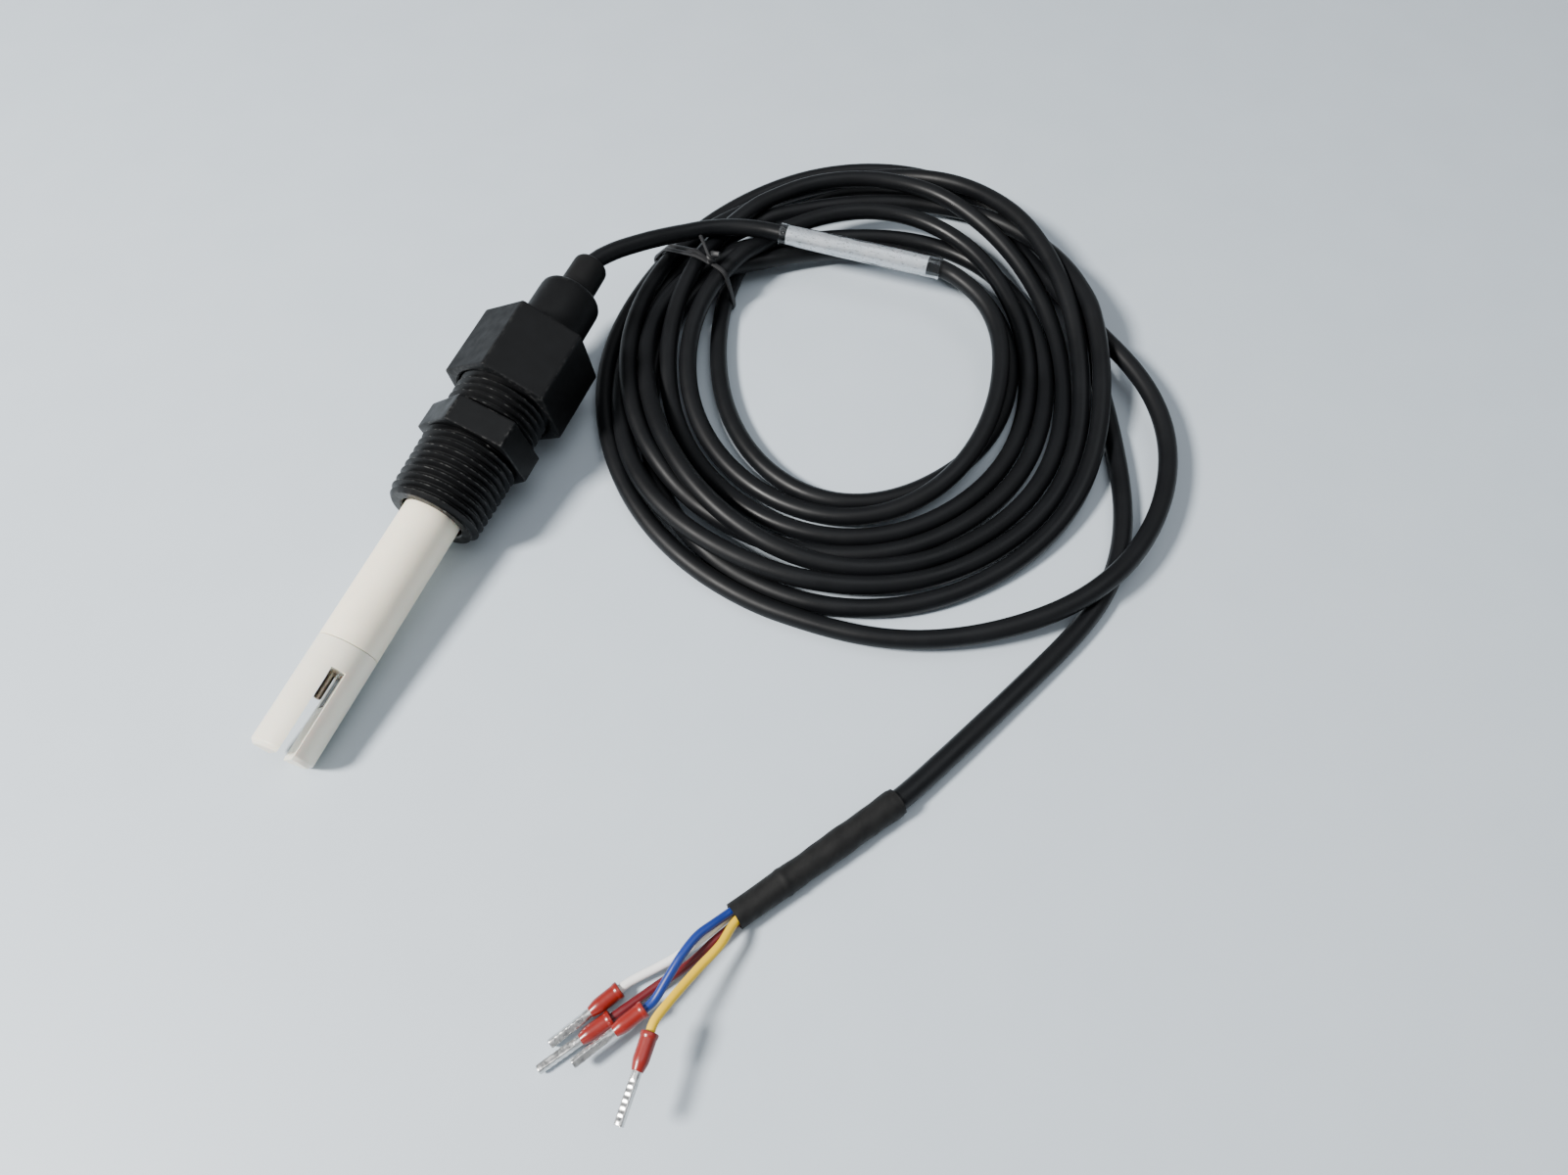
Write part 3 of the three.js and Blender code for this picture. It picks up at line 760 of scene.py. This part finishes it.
def carve(piece, cutters):
    """Subtracts the cutters from the piece's mesh for good."""
    for tool in cutters:
        modifier = piece.modifiers.new("cut", "BOOLEAN")
        modifier.operation = "DIFFERENCE"
        modifier.solver = "EXACT"
        modifier.object = tool
    carved = bpy.data.meshes.new_from_object(piece.evaluated_get(bpy.context.evaluated_depsgraph_get()))
    piece.modifiers.clear()
    piece.data = carved
    for tool in cutters:
        bpy.data.objects.remove(tool)


PLATE_START = 0.0114
PLATE_END = 0.0174
PLATE_HEIGHT = 0.005
PLATE_THICKNESS = 0.0006
PIN_HOLE_R = 0.00105
PIN_HOLE_LENGTH = 0.0045
PIN_HOLE_MIDDLE = 0.01975
# How far the cutters reach past the surface that they open.
OVERCUT = 0.0001
SLOT_OVERCUT = 0.004


def fork_head():
    """Round head, cut by the slot, a pocket for each electrode plate and a hole for the pin."""
    profile = [
        (POLE_R, 0.0),
        (TUBE_R - TIP_CHAMFER, 0.0),
        (TUBE_R, TIP_CHAMFER),
        (TUBE_R, HEAD_END),
        (TUBE_BORE_R - GAP, HEAD_END),
        (TUBE_BORE_R - GAP, SPIGOT_END),
        (POLE_R, SPIGOT_END),
    ]
    build = revolved(softened(profile, [0, 0.0002, 0.0002, 0.00015, 0, 0, 0]), 128)
    piece = finished_mesh("fork_head", build, "head_white_plastic", "cell_head")
    slot_length = SLOT_ROOT + SLOT_OVERCUT
    cutters = [cutter(box((SLOT_WIDTH, slot_length, 0.03)), 0, SLOT_ROOT - slot_length / 2)]
    depth = PLATE_THICKNESS + GAP
    pocket = (depth + OVERCUT, PLATE_END - PLATE_START + 2 * GAP, PLATE_HEIGHT + 2 * GAP)
    for side in (1, -1):
        offset = side * (SLOT_WIDTH + depth - OVERCUT) / 2
        cutters.append(cutter(box(pocket), offset, (PLATE_START + PLATE_END) / 2))
    cutters.append(cutter(rod(PIN_HOLE_R, PIN_HOLE_LENGTH), 0, PIN_HOLE_MIDDLE))
    carve(piece, cutters)
    piece.data.set_sharp_from_angle(angle=SHARP_ANGLE)
    bevel = piece.modifiers.new("edges", "BEVEL")
    bevel.width = 0.00012
    bevel.segments = 2
    bevel.limit_method = "ANGLE"
    bevel.angle_limit = math.radians(50)
    bevel.harden_normals = True


def temperature_pin():
    """Thin pin with a domed tip."""
    dome = [(POLE_R, 0.0), (0.00045, 0.00005), (0.00068, 0.0002), (PIN_R, 0.0005)]
    profile = [(radius, PIN_TIP + back) for radius, back in dome] + [(PIN_R, PIN_END), (POLE_R, PIN_END)]
    build = revolved(profile, 36)
    finished_mesh("thermistor_pin", build, "pin_steel", "temperature_pin")


# ---- threaded bushing and hex cap
# One pitch of the thread: how far along it, and how high between root and crest.
THREAD_FORM = [
    (0.0, 0.0), (0.07, 0.02), (0.39, 0.91), (0.44, 1.0), (0.52, 1.0), (0.57, 0.91), (0.89, 0.02),
]
# How far the clipped thread still stands off its root.
THREAD_STUB = 0.0001


def thread_rows(start, end, tip_r, taper, start_chamfer=None, end_chamfer=None):
    """Rows of a helical thread, clipped at both ends and cut back by chamfers of the given slope."""
    root = tip_r - THREAD_DEPTH
    stub = root + THREAD_STUB

    def row(turn, along, height):
        def place(angle):
            distance = start + THREAD_PITCH * (turn + along + angle / (2 * math.pi))
            distance = min(max(distance, start), end)
            radius = root + taper * (distance - start) + THREAD_DEPTH * height
            if start_chamfer:
                radius = min(radius, stub + (distance - start) * start_chamfer)
            if end_chamfer:
                radius = min(radius, stub + taper * (end - start) + (end - distance) * end_chamfer)
            return radius, distance
        return place

    turns = math.ceil((end - start) / THREAD_PITCH) + 1
    return [row(turn, along, height) for turn in range(-1, turns) for along, height in THREAD_FORM]


HEX_CORNER_CUT = 0.0001
HEX_END_CHAMFER = 0.0003


def hex_rows(flats, start, end, turn):
    """Rows of a hexagon whose corners are barely rounded, with a small chamfer at both ends."""
    corner_r = flats / math.sqrt(3) - HEX_CORNER_CUT

    def row(distance, cut):
        def place(angle):
            off_flat = (angle - turn + math.pi / 6) % (math.pi / 3) - math.pi / 6
            return min(flats / 2 / math.cos(off_flat), corner_r) - cut, distance
        return place

    soft = HEX_END_CHAMFER / 3
    # How far in from an end each row is, and how much is cut off there.
    steps = [(0, HEX_END_CHAMFER), (soft, soft), (HEX_END_CHAMFER, 0), (2 * HEX_END_CHAMFER, 0)]
    first_half = [row(start + back, cut) for back, cut in steps]
    return first_half + [row(end - back, cut) for back, cut in reversed(steps)]


def threaded_bushing():
    """Tapered lower thread, neck, hexagon and upper thread, with the seal's groove in the bore."""
    neck_start = SMALL_HEX_START - BUSHING_NECK
    edge = 0.0003
    rows = [
        (BUSHING_BORE_R, BUSHING_START + edge),
        (BUSHING_BORE_R + edge, BUSHING_START),
        *thread_rows(BUSHING_START, neck_start, BUSHING_TIP_R, TAPER, start_chamfer=0.9),
        (BUSHING_NECK_R, neck_start),
        (BUSHING_NECK_R, SMALL_HEX_START),
        *hex_rows(SMALL_HEX_FLATS, SMALL_HEX_START, SMALL_HEX_END, SMALL_HEX_TURN),
        *thread_rows(SMALL_HEX_END, BUSHING_END, UPPER_THREAD_R, 0, end_chamfer=0.8),
        (BUSHING_BORE_R, BUSHING_END),
        (BUSHING_BORE_R, SEAL_GROOVE_END),
        (SEAL_GROOVE_R, SEAL_GROOVE_END),
        (SEAL_GROOVE_R, SEAL_GROOVE_START),
        (BUSHING_BORE_R, SEAL_GROOVE_START),
    ]
    build = revolved(rows, 144)
    finished_mesh("pipe_bushing", build, "black_moulded_plastic", "threaded_bushing",
                  body="threaded_bushing")


def hex_cap():
    """Large hexagon with a cavity for the bushing's upper thread."""
    clearance = 0.0004
    cavity_r = UPPER_THREAD_R + clearance
    rows = [
        (cavity_r, CAP_START + clearance),
        (cavity_r + clearance, CAP_START),
        *hex_rows(CAP_FLATS, CAP_START, CAP_END, CAP_TURN),
        (CAP_HOLE_R, CAP_END),
        (CAP_HOLE_R, CAP_CAVITY_END),
        (cavity_r, CAP_CAVITY_END),
    ]
    build = revolved(rows, 240)
    finished_mesh("union_hex_cap", build, "black_cap_plastic", "hex_cap")


def cable_boss():
    """Round boss with a well rounded end, on a spigot that goes into the cap."""
    foot = CAP_END + GAP
    draft = 0.0001
    profile = [
        (CABLE_HOLE_R, BOSS_START),
        (BOSS_SPIGOT_R, BOSS_START),
        (BOSS_SPIGOT_R, foot),
        (BOSS_R - draft, foot),
        (BOSS_R, foot + 0.001),
        (BOSS_R - draft, BOSS_END),
        (CABLE_HOLE_R, BOSS_END),
    ]
    build = revolved(softened(profile, [0, 0, 0, 0.0003, 0, 0.0021, 0]), 96)
    finished_mesh("cable_boss_cover", build, "black_cap_plastic", "cable_boss")


def strain_relief():
    """Collar with a wider foot and a rounded mouth."""
    foot = BOSS_END + GAP
    profile = [
        (CABLE_HOLE_R, foot),
        (RELIEF_FOOT_R, foot),
        (RELIEF_FOOT_R, foot + 0.0008),
        (RELIEF_R + 0.0001, foot + 0.0022),
        (RELIEF_R, RELIEF_END),
        (CABLE_HOLE_R, RELIEF_END),
    ]
    build = revolved(softened(profile, [0, 0, 0.0003, 0.0003, 0.0016, 0]), 72)
    finished_mesh("relief_sleeve", build, "relief_rubber", "strain_relief")


# ---- tubes along a route
def smooth_route(points, step=0.0008):
    """Evenly stepped points on a centripetal Catmull-Rom curve through a listed route."""
    knots = [Vector(p) for p in points]
    knots = [knots[0] * 2 - knots[1]] + knots + [knots[-1] * 2 - knots[-2]]
    path = []
    for a, b, c, d in zip(knots, knots[1:], knots[2:], knots[3:]):
        count = max(2, round((c - b).length / step))
        t1 = (b - a).length ** 0.5
        t2 = t1 + (c - b).length ** 0.5
        t3 = t2 + (d - c).length ** 0.5
        for i in range(count):
            t = t1 + (t2 - t1) * i / count
            ab = a.lerp(b, t / t1)
            bc = b.lerp(c, (t - t1) / (t2 - t1))
            cd = c.lerp(d, (t - t2) / (t3 - t2))
            abc = ab.lerp(bc, t / t2)
            bcd = bc.lerp(cd, (t - t1) / (t3 - t1))
            path.append(abc.lerp(bcd, (t - t1) / (t2 - t1)))
    path.append(knots[-2])
    return path


def route_frames(path):
    """A frame at each point of a path, turned as little as possible from one to the next."""
    frames = []
    side = None
    for i, place in enumerate(path):
        forward = (path[min(i + 1, len(path) - 1)] - path[max(i - 1, 0)]).normalized()
        if side is None:
            side = forward.cross(UP).normalized()
        side = (side - forward * side.dot(forward)).normalized()
        frames.append((place, side, forward.cross(side)))
    return frames


def swept(path, section, columns, inner=None, build=None):
    """Skin along a path. section(share, angle) is the radius; inner is the bore's, if it is hollow."""
    if build is None:
        build = bmesh.new()
    frames = route_frames(path)
    last = len(frames) - 1

    def ring(i, radius_at):
        place, side, up = frames[i]
        line = []
        for j in range(columns):
            angle = 2 * math.pi * j / columns
            out = side * math.cos(angle) + up * math.sin(angle)
            line.append(build.verts.new(place + out * radius_at(i / last, angle)))
        return line + line[:1]

    rings = [ring(i, section) for i in range(last + 1)]
    if inner:
        rings += [ring(i, lambda share, angle: inner) for i in range(last, -1, -1)]
    join_rows(build, rings, closed=bool(inner))
    if not inner:
        build.faces.new(rings[0][:-1])
        build.faces.new(rings[-1][:-1])
    return build


# ---- label
LABEL_DIRECTION = (LABEL_END - LABEL_START).normalized()
LABEL_LENGTH = (LABEL_END - LABEL_START).length
PAPER_MARGIN = 0.0018
PAPER_R = 0.00216
PAPER_THICKNESS = 0.00009
PAPER_FIRST_ANGLE = math.radians(200)
PAPER_WRAP = math.radians(385)
# How much farther out the strip lies at the end of its wrap than at the start.
PAPER_RISE = 0.00011
PAPER_RIPPLE = 0.00002
SLEEVE_R = 0.00243


def label_strip():
    """The paper wraps once round the cable, with its overlap standing slightly proud."""
    build = bmesh.new()
    placed = along_line(LABEL_START + LABEL_DIRECTION * PAPER_MARGIN, LABEL_DIRECTION)
    length = LABEL_LENGTH - 2.8 * PAPER_MARGIN
    columns = 44
    rows = 24

    def line(i, lift):
        made = []
        for j in range(columns + 1):
            share = j / columns
            angle = PAPER_FIRST_ANGLE + PAPER_WRAP * share
            radius = PAPER_R + PAPER_RISE * share + lift
            radius += PAPER_RIPPLE * math.sin(5 * share * math.pi + i * 0.5)
            place = Vector((radius * math.sin(angle), length * i / rows, radius * math.cos(angle)))
            made.append(build.verts.new(placed @ place))
        return made

    lines = [(line(i, 0), line(i, PAPER_THICKNESS)) for i in range(rows + 1)]
    join_rows(build, [under + over[::-1] + under[:1] for under, over in lines], closed=False)
    for ends in (lines[0], lines[-1]):
        join_rows(build, ends, closed=False)
    return finished_mesh("label_strip", build, "label_paper", "label_paper")


def label_tube():
    """Clear sleeve over the label, slightly wrinkled and flared at both ends."""
    path = [LABEL_START.lerp(LABEL_END, i / 60) for i in range(61)]

    def section(share, angle):
        wrinkle = 0.00005 * math.sin(9 * angle + 14 * share) * math.sin(23 * share + 2 * angle)
        flare = 0.00018 * (max(0.0, 1 - share * 30) + max(0.0, share * 30 - 29))
        return SLEEVE_R + 0.00012 + wrinkle + flare

    build = swept(path, section, 40, inner=SLEEVE_R - 0.00003)
    return finished_mesh("label_tube", build, "clear_sleeve", "label_sleeve")


# ---- twist tie
TIE_OUTER_ANGLE = math.radians(150)
TIE_INNER_ANGLE = math.radians(153)
TIE_OUTER_R = 0.068
TIE_INNER_R = 0.031
TIE_R = 0.00052
TIE_PAIR_GAP = 0.0015
KNOT_SHARE = 0.75
KNOT_HEIGHT = 0.0022
KNOT_TURNS = 1.5
# How far below level the tie's arch reaches round its outermost strands, as a share of half a turn.
ARCH_OVERHANG = 0.32
# The two loose ends, each as two points measured inward, across and up from the knot.
LOOSE_ENDS = [
    [(-0.0022, 0.0004, 0.0034), (-0.0046, 0.0016, 0.0042)],
    [(0.0014, -0.0006, 0.0036), (0.0030, -0.0002, 0.0040)],
]


def coil_crossings(path):
    """The tie's line across the coil, and where the coil's strands cross it: (along it, height)."""
    outer = Vector(coil_place(TIE_OUTER_ANGLE, TIE_OUTER_R)[:2])
    span = Vector(coil_place(TIE_INNER_ANGLE, TIE_INNER_R)[:2]) - outer
    direction = span.normalized()
    across = Vector((-direction.y, direction.x))
    top = LABEL_START.z + 0.0005
    found = []
    for a, b in zip(path, path[1:]):
        first = (Vector(a[:2]) - outer).dot(across)
        second = (Vector(b[:2]) - outer).dot(across)
        if first * second < 0:
            place = Vector(a).lerp(Vector(b), first / (first - second))
            along = (place.xy - outer).dot(direction)
            if 0 < along < span.length and place.z < top:
                found.append((along, place.z))
    return outer, direction, found


def upper_hull(circles, radius, steps=80):
    """The taut line over the top and sides of a row of circles, as (along, height) points."""
    points = []
    for i in range(steps):
        angle = math.pi * (1 + ARCH_OVERHANG - (1 + 2 * ARCH_OVERHANG) * i / (steps - 1))
        reach = max(circles, key=lambda c: c[0] * math.cos(angle) + c[1] * math.sin(angle))
        points.append((reach[0] + radius * math.cos(angle), reach[1] + radius * math.sin(angle)))
    return points


def tie_arch(path):
    """Evenly stepped line over the strands, from outside the coil to its hole, and its way inward."""
    outer, direction, circles = coil_crossings(path)
    arch = []
    for along, height in upper_hull(circles, CABLE_R + TIE_R):
        plan = outer + direction * along
        arch.append(Vector((plan.x, plan.y, max(height, TIE_R))))
    return smooth_route(arch[::2], 0.0005), Vector((direction.x, direction.y, 0))


def twist_tie(path):
    """A wire tie: two runs side by side up to a twisted knot, one run on from it, and two loose ends."""
    arch, inward = tie_arch(path)
    across = Vector((-inward.y, inward.x, 0))
    reach = (arch[-1] - arch[0]).dot(inward)
    knot_at = sum((place - arch[0]).dot(inward) < KNOT_SHARE * reach for place in arch)
    knot = arch[knot_at] + UP * TIE_R
    runs = [arch[knot_at - 4:]]
    for sign, loose_end in zip((1, -1), LOOSE_ENDS):
        pair = [
            place + across * (sign * TIE_PAIR_GAP / 2 * min(1.0, (knot_at - i) / 12))
            for i, place in enumerate(arch[:knot_at - 2])
        ]
        twist = []
        for i in range(14):
            t = i / 13
            angle = 2 * math.pi * KNOT_TURNS * t + (0 if sign > 0 else math.pi)
            side = across * math.cos(angle) + inward * math.sin(angle)
            twist.append(knot + side * (TIE_R * 1.05) + UP * (KNOT_HEIGHT * t))
        end = [knot + inward * a + across * b + UP * c for a, b, c in loose_end]
        runs.append(smooth_route(pair[::5] + [pair[-1]] + twist + end, 0.0004))

    def section(share, angle):
        return TIE_R * (1 + 0.22 * math.cos(2 * angle))

    build = bmesh.new()
    for run in runs:
        swept(run, section, 12, build=build)
    return finished_mesh("tie_wire", build, "twist_tie", "twist_tie")


# ---- heat-shrink, wires and ferrules
SHRINK_START = Vector((-0.0276, -0.1097, 0.0028))
SHRINK_BEND = Vector((-0.0430, -0.1000, 0.0028))
SHRINK_END = Vector((-0.0584, -0.0901, 0.0028))
SHRINK_FRAME = along_line(SHRINK_START, SHRINK_END - SHRINK_START)
SHRINK_LENGTH = (SHRINK_END - SHRINK_START).length
SHRINK_R = 0.00272
SHRINK_SECOND_R = 0.00262
SHRINK_NARROWING = 0.00012
SHRINK_BORE_R = 0.0022
# Share of the length where the first tubing ends in a bead on the second, and the bead's size.
SHRINK_LIP = 1 - 0.0105 / SHRINK_LENGTH
BEAD_REACH = 0.022
BEAD_HEIGHT = 0.00016
MOUTH_SHARE = 0.012


def shrink_tube():
    """Two overlapping lengths of shrunk tubing; the second grips the wires and ends ragged."""
    halfway = [SHRINK_START.lerp(SHRINK_BEND, 0.5), SHRINK_BEND, SHRINK_BEND.lerp(SHRINK_END, 0.5)]
    path = smooth_route([SHRINK_START, *halfway, SHRINK_END], 0.0004)

    def section(share, angle):
        past_lip = share - SHRINK_LIP
        if past_lip > 0:
            radius = SHRINK_SECOND_R - SHRINK_NARROWING * ease(past_lip * 5)
            radius += 0.0001 * math.sin(2 * angle + 0.6) * past_lip / (1 - SHRINK_LIP)
        else:
            radius = SHRINK_R - SHRINK_NARROWING * ease(share / SHRINK_LIP)
            radius += 0.00006 * math.sin(17 * share + 1.0) + 0.00004 * math.sin(41 * share + 2 * angle)
        radius += BEAD_HEIGHT * max(0.0, 1 - abs(past_lip) / BEAD_REACH)
        if share < MOUTH_SHARE:
            radius -= 0.0001
        return radius

    build = swept(path, section, 48, inner=SHRINK_BORE_R)
    return finished_mesh("shrink_tube", build, "heat_shrink", "heat_shrink")


# Each lead: its wire's seat in the shrink, the free bends, and its ferrule's line.
LEADS = {
    "white": {
        "seat": (0.0009, -0.0009),
        "bends": [(-0.0632, -0.0868, 0.0032), (-0.0685, -0.0834, 0.0026)],
        "rear": (-0.0766, -0.0768, 0.00175),
        "tip": (-0.0892, -0.0696, 0.0013),
    },
    "red": {
        "seat": (-0.0009, -0.0009),
        "bends": [(-0.0631, -0.0886, 0.0025), (-0.0681, -0.0862, 0.0020), (-0.0743, -0.0820, 0.0017)],
        "rear": (-0.0812, -0.0776, 0.00175),
        "tip": (-0.0932, -0.0698, 0.0013),
    },
    "blue": {
        "seat": (0.0009, 0.0009),
        "bends": [
            (-0.0614, -0.0874, 0.0049), (-0.0642, -0.0859, 0.0056),
            (-0.0682, -0.0848, 0.0058), (-0.0722, -0.0841, 0.0051),
        ],
        "rear": (-0.0780, -0.0824, 0.0039),
        "tip": (-0.0902, -0.0752, 0.0036),
    },
    "yellow": {
        "seat": (-0.0009, 0.0009),
        "bends": [(-0.0640, -0.0901, 0.0051), (-0.0693, -0.0884, 0.0066), (-0.0755, -0.0866, 0.0083)],
        "rear": (-0.0814, -0.0858, 0.0092),
        "tip": (-0.0951, -0.0872, 0.0096),
    },
}
FERRULE_SLEEVE = 0.006
FERRULE_LENGTH = 0.014
CRIMP_R = 0.00085
CRIMP_HIDDEN = 0.0012
TOOTH_PITCH = 0.00105
TOOTH_DEPTH = 0.00011
# Where the wire lies straight, along the heat-shrink and along its ferrule.
SEAT_DISTANCES = (0.0264, 0.0315, 0.0366)
FERRULE_DISTANCES = (-0.0016, 0.0008, 0.0032)


def ferrule_frame(lead):
    return along_line(lead["rear"], Vector(lead["tip"]) - Vector(lead["rear"]))


def lead_wire(colour, lead):
    """Wire from its seat in the heat-shrink, over its free bends, into its ferrule."""
    placed = ferrule_frame(lead)
    across, up = lead["seat"]
    seats = [SHRINK_FRAME @ Vector((across, distance, up)) for distance in SEAT_DISTANCES]
    ends = [placed @ Vector((0, distance, 0)) for distance in FERRULE_DISTANCES]
    path = smooth_route(seats + lead["bends"] + ends)
    return cord_curve(f"lead_{colour}", path, WIRE_R, f"wire_{colour}", f"wire_{colour}")


def ferrule_collar(colour, lead):
    """Red collar: a belled mouth for the wire, then a shoulder down to the metal."""
    profile = [
        (0.00095, 0.0002),
        (0.00135, 0.0),
        (0.00152, 0.00012),
        (0.00152, 0.0006),
        (0.00140, 0.0010),
        (0.00138, 0.0040),
        (0.00134, 0.0046),
        (0.00108, 0.0056),
        (0.00096, FERRULE_SLEEVE),
        (0.00082, FERRULE_SLEEVE),
        (0.00082, 0.0030),
    ]
    reaches = [0, 0.00006, 0.0001, 0.0001, 0.0001, 0.0001, 0.0003, 0.0002, 0.00004, 0, 0]
    build = revolved(softened(profile, reaches), 40, ferrule_frame(lead))
    return finished_mesh(f"ferrule_collar_{colour}", build, "ferrule_red", f"ferrule_sleeve_{colour}")


def crimp_row(distance, turn, cut):
    """Row of a round pin that the crimping jaws press square, with their teeth across two sides."""
    squeezed = ease((distance - FERRULE_SLEEVE - 0.0007) / 0.0012)
    spared = ease((FERRULE_LENGTH - 0.0007 - distance) / 0.0005)
    press = squeezed * (0.55 + 0.45 * spared)
    tooth = 0.5 + 0.5 * math.sin(2 * math.pi * distance / TOOTH_PITCH)

    def place(angle):
        cos = abs(math.cos(angle + turn))
        sin = abs(math.sin(angle + turn))
        square = (cos**5 + sin**5) ** (-1 / 5)
        radius = CRIMP_R * (1 + press * (square * 0.93 - 1)) * (1 - 0.10 * press * sin**2)
        radius -= TOOTH_DEPTH * press * tooth * max(0.0, cos - 0.55) / 0.45
        return radius - cut, distance
    return place


def crimped_pin(colour, lead, turn):
    """Tin-plated tube, crimped along its bare length and hollow at its end."""
    start = FERRULE_SLEEVE - CRIMP_HIDDEN
    steps = 72
    rows = [(0.0006, start)]
    for i in range(steps + 1):
        distance = start + (FERRULE_LENGTH - start) * i / steps
        rows.append(crimp_row(distance, turn, cut=0.00007 if i == steps else 0.0))
    mouth = FERRULE_LENGTH - 0.0006
    rows += [(0.00045, FERRULE_LENGTH - 0.00003), (0.00035, mouth), (2 * POLE_R, mouth)]
    rows.append((2 * POLE_R, start))
    build = revolved(rows, 48, ferrule_frame(lead))
    return finished_mesh(f"crimped_pin_{colour}", build, "ferrule_tin", f"ferrule_pin_{colour}")


# ---- CAD nodes that only get a finish
CARRIED_OVER = {
    "electrode_left": "graphite",
    "electrode_right": "graphite",
    "inner_lead_1": "wire_white",
    "inner_lead_2": "wire_red",
    "inner_lead_3": "wire_blue",
    "inner_lead_4": "wire_yellow",
    "potting_plug": "potting_resin",
    "bushing_seal": "seal_rubber",
    "cap_gasket": "seal_rubber",
    "tube_collar": "black_cap_plastic",
}


def refinish():
    for node, slot in CARRIED_OVER.items():
        mesh = bpy.data.objects[node].data
        mesh.materials.clear()
        mesh.materials.append(MATERIALS[slot])


# ---- the whole scene
def add_cable():
    path = cable_path()
    cable = cord_curve("signal_cable", path, CABLE_R, "cable_jacket",
                       "cable_exit", "cable_coil", "cable_outer_loop", "cable_tail")
    attached = [label_strip(), label_tube(), twist_tie(path), shrink_tube()]
    for i, (colour, lead) in enumerate(LEADS.items()):
        attached.append(lead_wire(colour, lead))
        attached.append(ferrule_collar(colour, lead))
        attached.append(crimped_pin(colour, lead, turn=0.5 + 0.8 * i))


def add_probe():
    sensing_tube()
    fork_head()
    temperature_pin()
    threaded_bushing()
    hex_cap()
    cable_boss()
    strain_relief()


def add_light():
    target = (0.03, -0.06, 0)
    add_world(0.38)
    add_area_light("window", (-0.44, 0.41, 0.67), target, 0.2, 21.0, (1.0, 0.98, 0.95))
    add_area_light("sky_fill", (0.2, -0.3, 1.1), target, 1.0, 4.0, (0.93, 0.97, 1.0))


make_materials()
add_camera()
add_floor()
add_light()
add_cable()
add_probe()
refinish()
